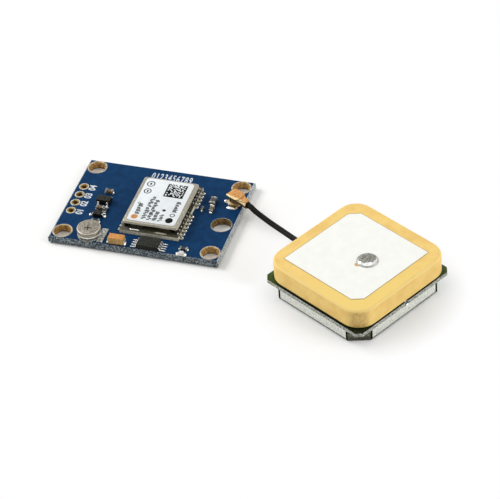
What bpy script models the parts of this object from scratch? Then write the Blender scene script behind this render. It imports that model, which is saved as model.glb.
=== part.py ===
"""A GPS receiver board with its ceramic patch antenna, joined by a short coaxial lead.

The board lies flat with its long side along X. The origin is the middle of its underside.
Each piece of the real module is one object. Sizes are in metres, from millimetre values.
"""

import math

import bmesh
import bpy
from mathutils import Matrix, Vector

MM = 0.001

# How closely pieces sit on each other: a film of solder or glue, and a slip fit in a hole.
SEAT = 0.02 * MM
SLIP = 0.03 * MM
# Boolean operands run past the faces they cut or join by this much.
OVERRUN = 0.1 * MM
# Vertices closer than this are one point.
WELD = 0.0005 * MM

# Carrier board.
BOARD_LENGTH = 35.0 * MM
BOARD_WIDTH = 25.0 * MM
BOARD_THICKNESS = 1.6 * MM
SCORE_DEPTH = 0.3 * MM

# Plated holes. The pin header has a 2.54 mm pitch.
PLATING = 0.06 * MM
PAD_HEIGHT = 0.05 * MM
MOUNT_HOLE_RADIUS = 1.65 * MM
MOUNT_RING_WIDTH = 0.31 * MM
MOUNT_HOLE_INSET_X = 2.25 * MM
MOUNT_HOLE_INSET_Y = 2.3 * MM
CABLE_HOLE_RADIUS = 1.97 * MM
CABLE_HOLE_RING_WIDTH = 0.1 * MM
CABLE_HOLE_INSET_X = 2.65 * MM
CABLE_HOLE_Y = -1.72 * MM
HEADER_PINS = 4
HEADER_PITCH = 2.54 * MM
HEADER_INSET_X = 1.7 * MM
HEADER_CENTRE_Y = -0.1 * MM
HEADER_HOLE_RADIUS = 0.5 * MM
HEADER_RING_WIDTH = 0.45 * MM

# Receiver module.
MODULE_WIDTH = 12.2 * MM
MODULE_LENGTH = 16.0 * MM
MODULE_BASE_THICKNESS = 0.8 * MM
CONTACT_PITCH = 1.1 * MM
CONTACTS_FRONT = 7
CONTACT_GROUP_GAP = 2.5 * MM
CONTACT_END_MARGIN = 1.0 * MM
CONTACT_RADIUS = 0.3 * MM
FILLET_REACH = 0.6 * MM
FILLET_WIDTH = 0.62 * MM
SHIELD_INSET_X = 0.4 * MM
SHIELD_INSET_Y = 0.95 * MM
SHIELD_HEIGHT = 1.55 * MM
SHIELD_WALL = 0.15 * MM
SHIELD_CORNER = 0.5 * MM
SHIELD_EDGE = 0.15 * MM
SHIELD_RIM = 0.52 * MM
SHIELD_FOOT_LENGTH = 2.7 * MM
SHIELD_WINDOW_HEIGHT = 0.95 * MM
LABEL_MARGIN_X = 0.75 * MM
LABEL_MARGIN_Y = 0.45 * MM
LABEL_THICKNESS = 0.08 * MM
LABEL_CORNER = 0.7 * MM
RECEIVER_CHIP_SIDE = 7.0 * MM
RECEIVER_CHIP_HEIGHT = 0.85 * MM
CRYSTAL_LENGTH = 2.5 * MM
CRYSTAL_WIDTH = 2.0 * MM
CRYSTAL_HEIGHT = 0.7 * MM
SAW_LENGTH = 1.4 * MM
SAW_WIDTH = 1.1 * MM
SAW_HEIGHT = 0.5 * MM
INNER_PART_GAP = 1.0 * MM

# Backup cell: a coin cell with its can upwards, on two welded tabs.
CELL_RADIUS = 2.4 * MM
CELL_CAN_HEIGHT = 1.2 * MM
CELL_LIFT = 0.5 * MM
CELL_EDGE = 0.28 * MM
CELL_LIP = 0.22 * MM
CELL_CAP_RADIUS = 1.7 * MM
CELL_CAP_DEPTH = 0.35 * MM
CELL_HOLE_GAP = 1.18 * MM
CELL_EDGE_GAP = 0.05 * MM
TAB_THICKNESS = 0.15 * MM
SIDE_TAB_WIDTH = 1.25 * MM
SIDE_TAB_LENGTH = 4.05 * MM
SIDE_TAB_FINGER = 1.3 * MM
SIDE_TAB_GAP = 0.12 * MM
SIDE_TAB_SHIFT = 0.1 * MM

# Tantalum capacitor.
TANTALUM_LENGTH = 3.2 * MM
TANTALUM_WIDTH = 1.7 * MM
TANTALUM_HEIGHT = 1.45 * MM
TANTALUM_EDGE = 0.14 * MM
TANTALUM_TERMINAL_WIDTH = 1.2 * MM
TANTALUM_TERMINAL_THICKNESS = 0.13 * MM
TANTALUM_FOOT = 0.75 * MM
TANTALUM_EDGE_GAP = 0.35 * MM

# Moulded packages with gull-wing leads.
LEAD_THICKNESS = 0.15 * MM
LEAD_SHANK = 0.25 * MM
LEAD_FOOT = 0.45 * MM
PACKAGE_STANDOFF = 0.1 * MM
PACKAGE_EDGE = 0.08 * MM
REGULATOR_LENGTH = 2.9 * MM
REGULATOR_WIDTH = 1.6 * MM
REGULATOR_HEIGHT = 1.05 * MM
REGULATOR_PITCH = 0.95 * MM
REGULATOR_LEAD_WIDTH = 0.4 * MM
MEMORY_LENGTH = 3.0 * MM
MEMORY_WIDTH = 4.4 * MM
MEMORY_HEIGHT = 0.95 * MM
MEMORY_PITCH = 0.65 * MM
MEMORY_LEAD_WIDTH = 0.3 * MM
MEMORY_LEADS_A_SIDE = 4
MEMORY_EDGE_GAP = 0.2 * MM
MODULE_MEMORY_GAP = 1.0 * MM
DIODE_LENGTH = 1.6 * MM
DIODE_WIDTH = 1.25 * MM
DIODE_HEIGHT = 0.9 * MM
DIODE_LEAD_WIDTH = 0.35 * MM

# Chip parts: length, width and height of the two sizes used, and their metal ends.
CHIP_LENGTH = 1.6 * MM
CHIP_WIDTH = 0.82 * MM
CAPACITOR_HEIGHT = 0.8 * MM
RESISTOR_HEIGHT = 0.45 * MM
CHIP_END = 0.3 * MM
CHIP_END_THICKNESS = 0.03 * MM
SMALL_CHIP_LENGTH = 1.0 * MM
SMALL_CHIP_WIDTH = 0.5 * MM
SMALL_CHIP_HEIGHT = 0.5 * MM
INDUCTOR_LENGTH = 2.0 * MM
INDUCTOR_WIDTH = 1.2 * MM
INDUCTOR_HEIGHT = 0.9 * MM
CELL_RESISTOR_GAP = 1.1 * MM
RESISTOR_DIODE_GAP = 0.7 * MM
DIODE_CAPACITOR_GAP = 1.0 * MM
CAPACITOR_REGULATOR_GAP = 0.25 * MM
REGULATOR_CAPACITOR_GAP = 0.9 * MM
COLUMN_SHIFT = 0.4 * MM
CHARGE_RESISTOR_SHIFT = 0.2 * MM
DIODE_SHIFT = 0.1 * MM
OUTPUT_CAPACITOR_SHIFT = -0.1 * MM
FEED_RESISTOR_SHIFT = 1.1 * MM
FEED_RESISTOR_SETBACK = 0.15 * MM
REGULATOR_SHIFT = -0.05 * MM
INDUCTOR_SETBACK = 1.0 * MM
RF_CAPACITOR_SHIFT = 0.44 * MM
PART_GAP = 0.35 * MM
LED_BASE_HEIGHT = 0.25 * MM
LED_LENS_LENGTH = 1.1 * MM
LED_LENS_HEIGHT = 0.4 * MM
LED_LENS_TAPER = 0.15 * MM
LED_EDGE_GAP = 0.15 * MM

# How the room left over in a row goes between its parts: the share before each one.
# Front row: tantalum capacitor, memory chip, light. Middle row: module, small chip, inductor.
FRONT_ROW_SHARES = (0.129, 0.201, 0.371)
MIDDLE_ROW_SHARES = (0.545, 0.1, 0.092)

# Coaxial socket and plug.
SOCKET_SIDE = 2.6 * MM
SOCKET_BASE_HEIGHT = 0.35 * MM
SOCKET_CORNER = 0.35 * MM
SOCKET_INSET_X = 2.0 * MM
SOCKET_HOLE_GAP = 1.47 * MM
SOCKET_RING_RADIUS = 1.0 * MM
SOCKET_RING_WALL = 0.14 * MM
SOCKET_RING_HEIGHT = 0.65 * MM
SOCKET_PIN_RADIUS = 0.25 * MM
SOCKET_FOOT_LENGTH = 1.9 * MM
SOCKET_FOOT_REACH = 0.5 * MM
SOCKET_FOOT_THICKNESS = 0.14 * MM
SOCKET_TAIL_LENGTH = 2.1 * MM
SOCKET_TAIL_WIDTH = 0.9 * MM
PLUG_TURN = math.radians(-27.5)
PLUG_TOP = 2.35 * MM
PLUG_SHEET = 0.16 * MM
PLUG_HEAD_RADIUS = 1.27 * MM
PLUG_HEAD_WIDTH = 2.7 * MM
PLUG_HEAD_REAR = 1.2 * MM
PLUG_SKIRT_HEIGHT = 1.45 * MM
PLUG_HEAD_END = 1.85 * MM
PLUG_HEAD_CORNER = 0.2 * MM
PLUG_HEAD_BEND = 0.45 * MM
PLUG_SHOULDER = 0.7 * MM
PLUG_TIP_TAPER = 0.3 * MM
PLUG_TIP = 0.1 * MM
PLUG_NECK_DROP = 0.12 * MM
PLUG_CRIMP_START = 0.9 * MM
PLUG_CRIMP_END = 3.5 * MM
PLUG_CRIMP_WALL = 0.17 * MM
PLUG_BORE_GAP = 0.06 * MM
PLUG_CABLE_HEIGHT = 1.32 * MM
PLUG_CABLE_END = 2.25 * MM
PLUG_SLOT = 0.35 * MM
PLUG_CONTACT_FOOT = 0.75 * MM
CONTACT_WALL = 0.1 * MM

# Coaxial cable.
CABLE_DIAMETER = 1.13 * MM
CABLE_POINT_SPACING = 2.4
ROUTE_SAMPLES = 60
STRAIGHT_FROM_CAN = 1.2 * MM
STRAIGHT_FROM_PLUG = 0.95 * MM
SAG_AT_PLUG = 0.06 * MM

# Patch antenna, turned on the floor beside the board.
ANTENNA_X = 45.15 * MM
ANTENNA_Y = -11.95 * MM
ANTENNA_TURN = math.radians(-28.5)
ANTENNA_SHIELD_SIDE = 24.2 * MM
ANTENNA_SHIELD_HEIGHT = 2.83 * MM
ANTENNA_SHIELD_WALL = 0.25 * MM
ANTENNA_SHIELD_CORNER = 3.05 * MM
ANTENNA_SHIELD_BEND = 0.2 * MM
ANTENNA_SEAM = 0.22 * MM
ANTENNA_SEAM_START = 0.45 * MM
ANTENNA_BOARD_SIDE = 25.0 * MM
ANTENNA_BOARD_THICKNESS = 0.8 * MM
ANTENNA_BOARD_CORNER = 1.0 * MM
ANTENNA_NOTCH_RADIUS = 0.45 * MM
ANTENNA_TAPE_THICKNESS = 0.3 * MM
ANTENNA_TAPE_SIDE = 24.2 * MM
LAYER_THICKNESS = 0.04 * MM
CERAMIC_SIDE = 24.6 * MM
CERAMIC_SHIFT = 0.12 * MM
CERAMIC_THICKNESS = 4.0 * MM
CERAMIC_CORNER = 3.9 * MM
CERAMIC_TOP_EDGE = 0.5 * MM
CERAMIC_BOTTOM_EDGE = 0.2 * MM
GROUND_SIDE = 23.6 * MM
PATCH_SIDE = 19.3 * MM
PATCH_TRIM = 1.7 * MM
FEED_X = 2.65 * MM
FEED_Y = 0.3 * MM
FEED_PIN_RADIUS = 0.45 * MM
FEED_HEAD_RADIUS = 0.95 * MM
FEED_HEAD_HEIGHT = 0.22 * MM
FEED_TAIL = 0.7 * MM
FEED_SOLDER_RADIUS = 2.1 * MM
FEED_SOLDER_HEIGHT = 0.62 * MM
FEED_JOINT_RADIUS = 1.1 * MM
AMPLIFIER_SIDE = 1.6 * MM
AMPLIFIER_HEIGHT = 0.6 * MM
ANTENNA_SAW_LENGTH = 3.0 * MM
ANTENNA_SAW_HEIGHT = 1.1 * MM
LEAD_IN_Y = 0.5 * MM
LEAD_IN_DROP = 0.63 * MM
CABLE_NOTCH_CLEARANCE = 0.2 * MM
CABLE_JOINT_X = -1.6 * MM
CABLE_JOINT_LENGTH = 1.6 * MM
CABLE_JOINT_WIDTH = 1.5 * MM

# The lead's own route between the antenna's wall and the plug, chosen by hand.
LEAD_ROUTE = [
    (31.90 * MM, -3.75 * MM, 1.70 * MM),
    (29.70 * MM, -2.05 * MM, 1.15 * MM),
    (26.55 * MM, -0.15 * MM, 1.20 * MM),
    (24.10 * MM, 1.10 * MM, 1.50 * MM),
    (21.70 * MM, 2.25 * MM, 2.05 * MM),
    (20.35 * MM, 2.85 * MM, 2.50 * MM),
]

# How round pieces are faceted.
HOLE_SIDES = 28
SMALL_HOLE_SIDES = 16
ROUND_STEPS = 32
SMALL_ROUND_STEPS = 20
CORNER_STEPS = 6

# Heights that pieces share.
BOARD_TOP = BOARD_THICKNESS
ON_BOARD = BOARD_TOP + SEAT
CELL_BOTTOM = ON_BOARD + TAB_THICKNESS + CELL_LIFT

PARTS = "gps_module"
CUTTERS = "cutters"


def clear_scene():
    """Remove what the file holds, so that the script starts from nothing."""
    for item in list(bpy.data.objects):
        bpy.data.objects.remove(item, do_unlink=True)


def collection(name):
    """A collection of the scene, made when it is first asked for."""
    found = bpy.data.collections.get(name)
    if found is None:
        found = bpy.data.collections.new(name)
        bpy.context.scene.collection.children.link(found)
    return found


def finish_material(name, colour, roughness, metallic=0.0):
    """A Principled material for one piece."""
    made = bpy.data.materials.new(name)
    made.use_nodes = True
    shader = made.node_tree.nodes["Principled BSDF"]
    shader.inputs["Base Color"].default_value = (*colour, 1.0)
    shader.inputs["Roughness"].default_value = roughness
    shader.inputs["Metallic"].default_value = metallic
    made.diffuse_color = (*colour, 1.0)
    return made


FINISHES = {
    "laminate": ((0.011, 0.048, 0.127), 0.35, 0.0),
    "module laminate": ((0.05, 0.07, 0.02), 0.5, 0.0),
    "antenna laminate": ((0.03, 0.05, 0.01), 0.5, 0.0),
    "tin": ((0.62, 0.62, 0.60), 0.35, 1.0),
    "steel": ((0.55, 0.54, 0.50), 0.3, 1.0),
    "gold": ((0.80, 0.45, 0.15), 0.3, 1.0),
    "black epoxy": ((0.012, 0.012, 0.010), 0.6, 0.0),
    "paper": ((0.9, 0.9, 0.9), 0.6, 0.0),
    "orange epoxy": ((0.68, 0.28, 0.06), 0.5, 0.0),
    "brown ceramic": ((0.25, 0.12, 0.05), 0.5, 0.0),
    "white plastic": ((0.8, 0.8, 0.76), 0.5, 0.0),
    "black jacket": ((0.01, 0.01, 0.01), 0.45, 0.0),
    "tan ceramic": ((0.85, 0.59, 0.20), 0.6, 0.0),
    "silver paint": ((0.9, 0.9, 0.88), 0.4, 0.0),
    "black tape": ((0.01, 0.02, 0.01), 0.8, 0.0),
}


def piece(name, data, finish, parent=None):
    """Put a mesh or curve into the module as one named piece with its own material."""
    made = bpy.data.objects.new(name, data)
    collection(PARTS).objects.link(made)
    made.parent = parent
    colour, roughness, metallic = FINISHES[finish]
    data.materials.append(finish_material(name, colour, roughness, metallic))
    return made


def tool(name, data, parent=None):
    """Put a mesh into the cutters, where only Booleans use it."""
    made = bpy.data.objects.new(name, data)
    collection(CUTTERS).objects.link(made)
    made.parent = parent
    made.hide_render = True
    made.display_type = "WIRE"
    return made


def frame(name, place, turn=0.0):
    """An empty that carries a group of pieces."""
    made = bpy.data.objects.new(name, None)
    collection(PARTS).objects.link(made)
    made.location = place
    made.rotation_euler = (0.0, 0.0, turn)
    return made


def to_mesh(bm, name):
    """Close a bmesh into a mesh."""
    made = bpy.data.meshes.new(name)
    bm.to_mesh(made)
    bm.free()
    return made


def add_block(bm, size, base):
    """A box of that size whose underside is centred on base."""
    centre = Vector(base) + Vector((0.0, 0.0, size[2] / 2))
    matrix = Matrix.Translation(centre) @ Matrix.Diagonal((*size, 1.0))
    return bmesh.ops.create_cube(bm, size=1.0, matrix=matrix)["verts"]


def add_cylinder(bm, radius, low, high, at, sides):
    """An upright cylinder between two heights."""
    middle = Vector((at[0], at[1], (low + high) / 2))
    bmesh.ops.create_cone(
        bm, cap_ends=True, segments=sides, radius1=radius, radius2=radius,
        depth=high - low, matrix=Matrix.Translation(middle))


def bevel_edges(bm, width, segments, wanted):
    """Round or chamfer the edges that wanted picks."""
    edges = [edge for edge in bm.edges if wanted(edge)]
    bmesh.ops.bevel(bm, geom=edges, offset=width, segments=segments, affect="EDGES", profile=0.5)


def is_upright(edge):
    """True for an edge that runs along Z."""
    start, end = edge.verts[0].co, edge.verts[1].co
    return (start - end).xy.length < WELD


def is_level_at(height):
    """Picks the edges that lie in the plane at that height."""
    def wanted(edge):
        return all(abs(vert.co.z - height) < WELD for vert in edge.verts)
    return wanted


def block_mesh(name, size, base, edge=0.0, segments=1):
    """A box with its edges softened."""
    bm = bmesh.new()
    add_block(bm, size, base)
    if edge > 0.0:
        bevel_edges(bm, edge, segments, lambda found: True)
    return to_mesh(bm, name)


def profile_mesh(name, points, closed=True):
    """A profile of edges in the XZ plane, for the Screw modifier."""
    bm = bmesh.new()
    verts = [bm.verts.new((radius, 0.0, height)) for radius, height in points]
    for start, end in zip(verts, verts[1:]):
        bm.edges.new((start, end))
    if closed:
        bm.edges.new((verts[-1], verts[0]))
    return to_mesh(bm, name)


def turn_profile(obj, steps):
    """Turn an object's profile round its own Z axis."""
    screw = obj.modifiers.new("turned", "SCREW")
    screw.steps = steps
    screw.render_steps = steps
    screw.use_merge_vertices = True
    screw.merge_threshold = WELD
    screw.use_smooth_shade = False
    return obj


def turned_piece(name, points, finish, place, steps=ROUND_STEPS, closed=True, parent=None):
    """A turned piece from its profile, outer side from top to bottom."""
    made = piece(name, profile_mesh(name, points, closed), finish, parent)
    made.location = place
    return turn_profile(made, steps)


def combine(obj, operand, operation):
    """Cut or join with another object, which stays hidden."""
    boolean = obj.modifiers.new(operation.lower(), "BOOLEAN")
    boolean.operation = operation
    boolean.solver = "EXACT"
    boolean.object = operand


def arc(centre, radius, start, end, steps):
    """Points along an arc, from one angle to another in degrees."""
    points = []
    for step in range(steps + 1):
        angle = math.radians(start + (end - start) * step / steps)
        points.append((centre[0] + radius * math.cos(angle), centre[1] + radius * math.sin(angle)))
    return points


def circle(centre, radius, sides):
    """A closed ring of points."""
    return arc(centre, radius, 0.0, 360.0 * (sides - 1) / sides, sides - 1)


def rounded_rectangle(length, width, radius, steps, centre=(0.0, 0.0)):
    """The outline of a rectangle with round corners."""
    points = []
    for quarter, (sx, sy) in enumerate([(1, 1), (-1, 1), (-1, -1), (1, -1)]):
        corner = (centre[0] + sx * (length / 2 - radius), centre[1] + sy * (width / 2 - radius))
        points += arc(corner, radius, 90.0 * quarter, 90.0 * (quarter + 1), steps)
    return points


def flat_mesh(name, outlines, thickness, base):
    """A flat plate from 2D outlines; an outline inside another is a hole."""
    curve = bpy.data.curves.new(name, "CURVE")
    curve.dimensions = "2D"
    curve.fill_mode = "BOTH"
    curve.extrude = thickness / 2
    for outline in outlines:
        spline = curve.splines.new("POLY")
        spline.points.add(len(outline) - 1)
        for point, (x, y) in zip(spline.points, outline):
            point.co = (x, y, 0.0, 1.0)
        spline.use_cyclic_u = True
    holder = bpy.data.objects.new(name, curve)
    bpy.context.scene.collection.objects.link(holder)
    bpy.context.view_layer.update()
    evaluated = holder.evaluated_get(bpy.context.evaluated_depsgraph_get())
    mesh = bpy.data.meshes.new_from_object(evaluated)
    bpy.data.objects.remove(holder, do_unlink=True)
    bpy.data.curves.remove(curve)
    bm = bmesh.new()
    bm.from_mesh(mesh)
    bpy.data.meshes.remove(mesh)
    bmesh.ops.remove_doubles(bm, verts=bm.verts, dist=WELD)
    bmesh.ops.recalc_face_normals(bm, faces=bm.faces)
    bmesh.ops.translate(bm, verts=bm.verts, vec=(0.0, 0.0, base + thickness / 2))
    return to_mesh(bm, name)


def merged(name, meshes):
    """Several meshes as one operand, each still its own body."""
    bm = bmesh.new()
    for mesh in meshes:
        bm.from_mesh(mesh)
        bpy.data.meshes.remove(mesh)
    return to_mesh(bm, name)


# Places on the board, each worked out from the edges and neighbours that set it.

def mount_hole_places():
    """The four corner holes, anticlockwise from the front left."""
    x = BOARD_LENGTH / 2 - MOUNT_HOLE_INSET_X
    y = BOARD_WIDTH / 2 - MOUNT_HOLE_INSET_Y
    return [(-x, -y), (x, -y), (x, y), (-x, y)]


def cable_hole_place():
    """The larger hole near the right edge."""
    return (BOARD_LENGTH / 2 - CABLE_HOLE_INSET_X, CABLE_HOLE_Y)


def header_places():
    """The header holes, from the front to the rear."""
    x = -BOARD_LENGTH / 2 + HEADER_INSET_X
    first = HEADER_CENTRE_Y - HEADER_PITCH * (HEADER_PINS - 1) / 2
    return [(x, first + HEADER_PITCH * index) for index in range(HEADER_PINS)]


def mount_ring_radius():
    """The outer radius of a corner hole's tinned ring."""
    return MOUNT_HOLE_RADIUS + PLATING + MOUNT_RING_WIDTH


def cell_place():
    """The backup cell, beside the front left hole and inside the front edge."""
    hole_x = mount_hole_places()[0][0]
    x = hole_x + mount_ring_radius() + CELL_HOLE_GAP + CELL_RADIUS
    return (x, -BOARD_WIDTH / 2 + CELL_EDGE_GAP + CELL_RADIUS)


def side_tab_right():
    """The right edge of the cell's side tab."""
    return cell_place()[0] + CELL_RADIUS - CELL_LIP + SIDE_TAB_WIDTH - TAB_THICKNESS


def lead_reach():
    """How far a gull-wing lead stands out from its package."""
    return LEAD_SHANK + LEAD_THICKNESS + LEAD_FOOT


def row_centres(start, end, widths, shares):
    """The centres of the parts in a row, with the room left over shared out before each one."""
    free = end - start - sum(widths)
    centres = []
    x = start
    for width, share in zip(widths, shares):
        x += free * share + width / 2
        centres.append(x)
        x += width / 2
    return centres


def front_row():
    """Along the front edge, from the cell's tab to the right hole: the three parts' X."""
    hole_left = mount_hole_places()[1][0] - mount_ring_radius()
    tantalum = TANTALUM_LENGTH + 2 * (TANTALUM_TERMINAL_THICKNESS + SEAT)
    memory = MEMORY_WIDTH + 2 * lead_reach()
    return row_centres(side_tab_right(), hole_left, (tantalum, memory, CHIP_LENGTH), FRONT_ROW_SHARES)


def middle_row():
    """Across the middle, from the left column to the socket: the three parts' X."""
    column_right = left_column()["feed_resistor"][0] + CHIP_WIDTH / 2
    socket_left = socket_place()[0] - SOCKET_SIDE / 2 - SOCKET_FOOT_REACH
    module = MODULE_WIDTH + 2 * FILLET_REACH
    widths = (module, SMALL_CHIP_WIDTH, INDUCTOR_WIDTH)
    return row_centres(column_right, socket_left, widths, MIDDLE_ROW_SHARES)


def tantalum_place():
    """The tantalum capacitor, just inside the front edge."""
    return (front_row()[0], -BOARD_WIDTH / 2 + TANTALUM_EDGE_GAP + TANTALUM_WIDTH / 2)


def memory_place():
    """The memory chip, just inside the front edge."""
    return (front_row()[1], -BOARD_WIDTH / 2 + MEMORY_EDGE_GAP + MEMORY_LENGTH / 2)


def led_place():
    """The light, just inside the front edge."""
    return (front_row()[2], -BOARD_WIDTH / 2 + LED_EDGE_GAP + CHIP_WIDTH / 2)


def module_place():
    """The module's centre, a clear gap behind the memory chip and any part of the cell's tab."""
    x = middle_row()[0]
    front = memory_place()[1] + MEMORY_LENGTH / 2 + MODULE_MEMORY_GAP
    left = x - MODULE_WIDTH / 2 - FILLET_REACH
    if side_tab_right() + PART_GAP > left:
        tab_rear = cell_place()[1] + SIDE_TAB_SHIFT + SIDE_TAB_LENGTH / 2
        front = max(front, tab_rear + PART_GAP)
    return (x, front + MODULE_LENGTH / 2)


def left_column():
    """The parts behind the cell, from front to rear: each one's centre."""
    x = cell_place()[0] - COLUMN_SHIFT
    y = cell_place()[1] + CELL_RADIUS + CELL_RESISTOR_GAP + CHIP_WIDTH / 2
    places = {"charge_resistor": (x + CHARGE_RESISTOR_SHIFT, y)}
    y += CHIP_WIDTH / 2 + RESISTOR_DIODE_GAP + DIODE_WIDTH / 2
    places["charging_diode"] = (x + DIODE_SHIFT, y)
    y += DIODE_WIDTH / 2 + DIODE_CAPACITOR_GAP + CHIP_WIDTH / 2
    places["output_capacitor"] = (x + OUTPUT_CAPACITOR_SHIFT, y)
    lead_tips = y + CHIP_WIDTH / 2 + CAPACITOR_REGULATOR_GAP
    feed_y = lead_tips - FEED_RESISTOR_SETBACK - CHIP_LENGTH / 2
    places["feed_resistor"] = (x + FEED_RESISTOR_SHIFT, feed_y)
    y = lead_tips + lead_reach() + REGULATOR_WIDTH / 2
    places["regulator"] = (x + REGULATOR_SHIFT, y)
    y += REGULATOR_WIDTH / 2 + lead_reach() + REGULATOR_CAPACITOR_GAP + CHIP_WIDTH / 2
    places["input_capacitor"] = (x, y)
    return places


def socket_place():
    """The coaxial socket, near the right edge in front of the rear hole."""
    hole_y = mount_hole_places()[2][1]
    y = hole_y - mount_ring_radius() - SOCKET_HOLE_GAP - SOCKET_SIDE / 2
    return (BOARD_LENGTH / 2 - SOCKET_INSET_X, y)


# Carrier board.

def make_circuit_board():
    """The blue board: scored along its edges, then drilled."""
    bm = bmesh.new()
    add_block(bm, (BOARD_LENGTH, BOARD_WIDTH, BOARD_THICKNESS), (0.0, 0.0, 0.0))
    bevel_edges(bm, SCORE_DEPTH, 1, lambda edge: not is_upright(edge))
    board = piece("circuit_board", to_mesh(bm, "circuit_board"), "laminate")
    drills = bmesh.new()
    wall = PLATING + SLIP
    low, high = -OVERRUN, BOARD_TOP + OVERRUN
    for place in mount_hole_places():
        add_cylinder(drills, MOUNT_HOLE_RADIUS + wall, low, high, place, HOLE_SIDES)
    add_cylinder(drills, CABLE_HOLE_RADIUS + wall, low, high, cable_hole_place(), HOLE_SIDES)
    for place in header_places():
        add_cylinder(drills, HEADER_HOLE_RADIUS + wall, low, high, place, SMALL_HOLE_SIDES)
    combine(board, tool("drills", to_mesh(drills, "drills")), "DIFFERENCE")


def make_plating(name, place, radius, ring_width, steps):
    """A plated barrel with its pad on the upper side."""
    outer = radius + PLATING
    pad = outer + ring_width
    pad_top = ON_BOARD + PAD_HEIGHT
    profile = [
        (pad, pad_top), (pad, ON_BOARD), (outer, ON_BOARD),
        (outer, SEAT), (radius, SEAT), (radius, pad_top)]
    turned_piece(name, profile, "tin", (place[0], place[1], 0.0), steps)


def make_platings():
    """The barrels of all nine holes."""
    for index, place in enumerate(mount_hole_places(), start=1):
        name = f"mounting_hole_plating_{index}"
        make_plating(name, place, MOUNT_HOLE_RADIUS, MOUNT_RING_WIDTH, HOLE_SIDES)
    place = cable_hole_place()
    make_plating("cable_hole_plating", place, CABLE_HOLE_RADIUS, CABLE_HOLE_RING_WIDTH, HOLE_SIDES)
    for index, place in enumerate(header_places(), start=1):
        name = f"header_hole_plating_{index}"
        make_plating(name, place, HEADER_HOLE_RADIUS, HEADER_RING_WIDTH, SMALL_HOLE_SIDES)


# Receiver module, in a frame at its centre on the board.

def contact_places():
    """The edge contacts of one long side, as distances along it, in a front and a rear group."""
    front = -MODULE_LENGTH / 2 + CONTACT_END_MARGIN
    rear = MODULE_LENGTH / 2 - CONTACT_END_MARGIN
    places = [front + CONTACT_PITCH * index for index in range(CONTACTS_FRONT)]
    room = rear - places[-1] - CONTACT_GROUP_GAP
    places += [rear - CONTACT_PITCH * index for index in range(int(room / CONTACT_PITCH) + 1)]
    return places


def make_module_base(parent):
    """The module's own board, with a half hole and a solder fillet at each contact."""
    size = (MODULE_WIDTH, MODULE_LENGTH, MODULE_BASE_THICKNESS)
    mesh = block_mesh("module_base", size, (0.0, 0.0, 0.0))
    base = piece("module_base", mesh, "module laminate", parent)
    notches = bmesh.new()
    fillets = bmesh.new()
    low, high = -OVERRUN, MODULE_BASE_THICKNESS + OVERRUN
    for side in (-1.0, 1.0):
        edge = side * MODULE_WIDTH / 2
        for y in contact_places():
            add_cylinder(notches, CONTACT_RADIUS, low, high, (edge, y), SMALL_HOLE_SIDES)
            depth = FILLET_REACH + CONTACT_RADIUS + OVERRUN
            centre = (edge + side * (FILLET_REACH - depth / 2), y, 0.0)
            verts = add_block(fillets, (depth, FILLET_WIDTH, MODULE_BASE_THICKNESS * 0.8), centre)
            for vert in verts:
                is_outer = side * (vert.co.x - edge) > 0.0
                if is_outer and vert.co.z > MODULE_BASE_THICKNESS / 2:
                    vert.co.z = MODULE_BASE_THICKNESS * 0.15
                    vert.co.y = y + (vert.co.y - y) * 0.6
    combine(base, tool("contact_notches", to_mesh(notches, "contact_notches"), parent), "DIFFERENCE")
    combine(base, tool("contact_fillets", to_mesh(fillets, "contact_fillets"), parent), "UNION")


def shield_size():
    """The module can's outer length, width and height."""
    return (MODULE_WIDTH - 2 * SHIELD_INSET_X, MODULE_LENGTH - 2 * SHIELD_INSET_Y, SHIELD_HEIGHT)


def open_box(size, foot, corner, edge):
    """A sheet-metal box, open below, as a shell of single faces."""
    bm = bmesh.new()
    add_block(bm, size, (0.0, 0.0, foot))
    floor = [face for face in bm.faces if face.normal.z < -0.5]
    bmesh.ops.delete(bm, geom=floor, context="FACES_ONLY")
    bevel_edges(bm, corner, 3, is_upright)
    if edge > 0.0:
        bevel_edges(bm, edge, 2, is_level_at(foot + size[2]))
    return bm


def add_sheet(obj, thickness):
    """Give a shell its sheet thickness, inwards."""
    sheet = obj.modifiers.new("sheet", "SOLIDIFY")
    sheet.thickness = thickness
    sheet.offset = -1.0


def make_module_shield(parent):
    """The pressed lid of the can: a flat top with a shallow rim."""
    size = shield_size()
    foot = MODULE_BASE_THICKNESS + SEAT + SHIELD_HEIGHT - SHIELD_RIM
    bm = open_box((size[0], size[1], SHIELD_RIM), foot, SHIELD_CORNER, SHIELD_EDGE)
    lid = piece("module_shield", to_mesh(bm, "module_shield"), "steel", parent)
    add_sheet(lid, SHIELD_WALL)


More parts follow.
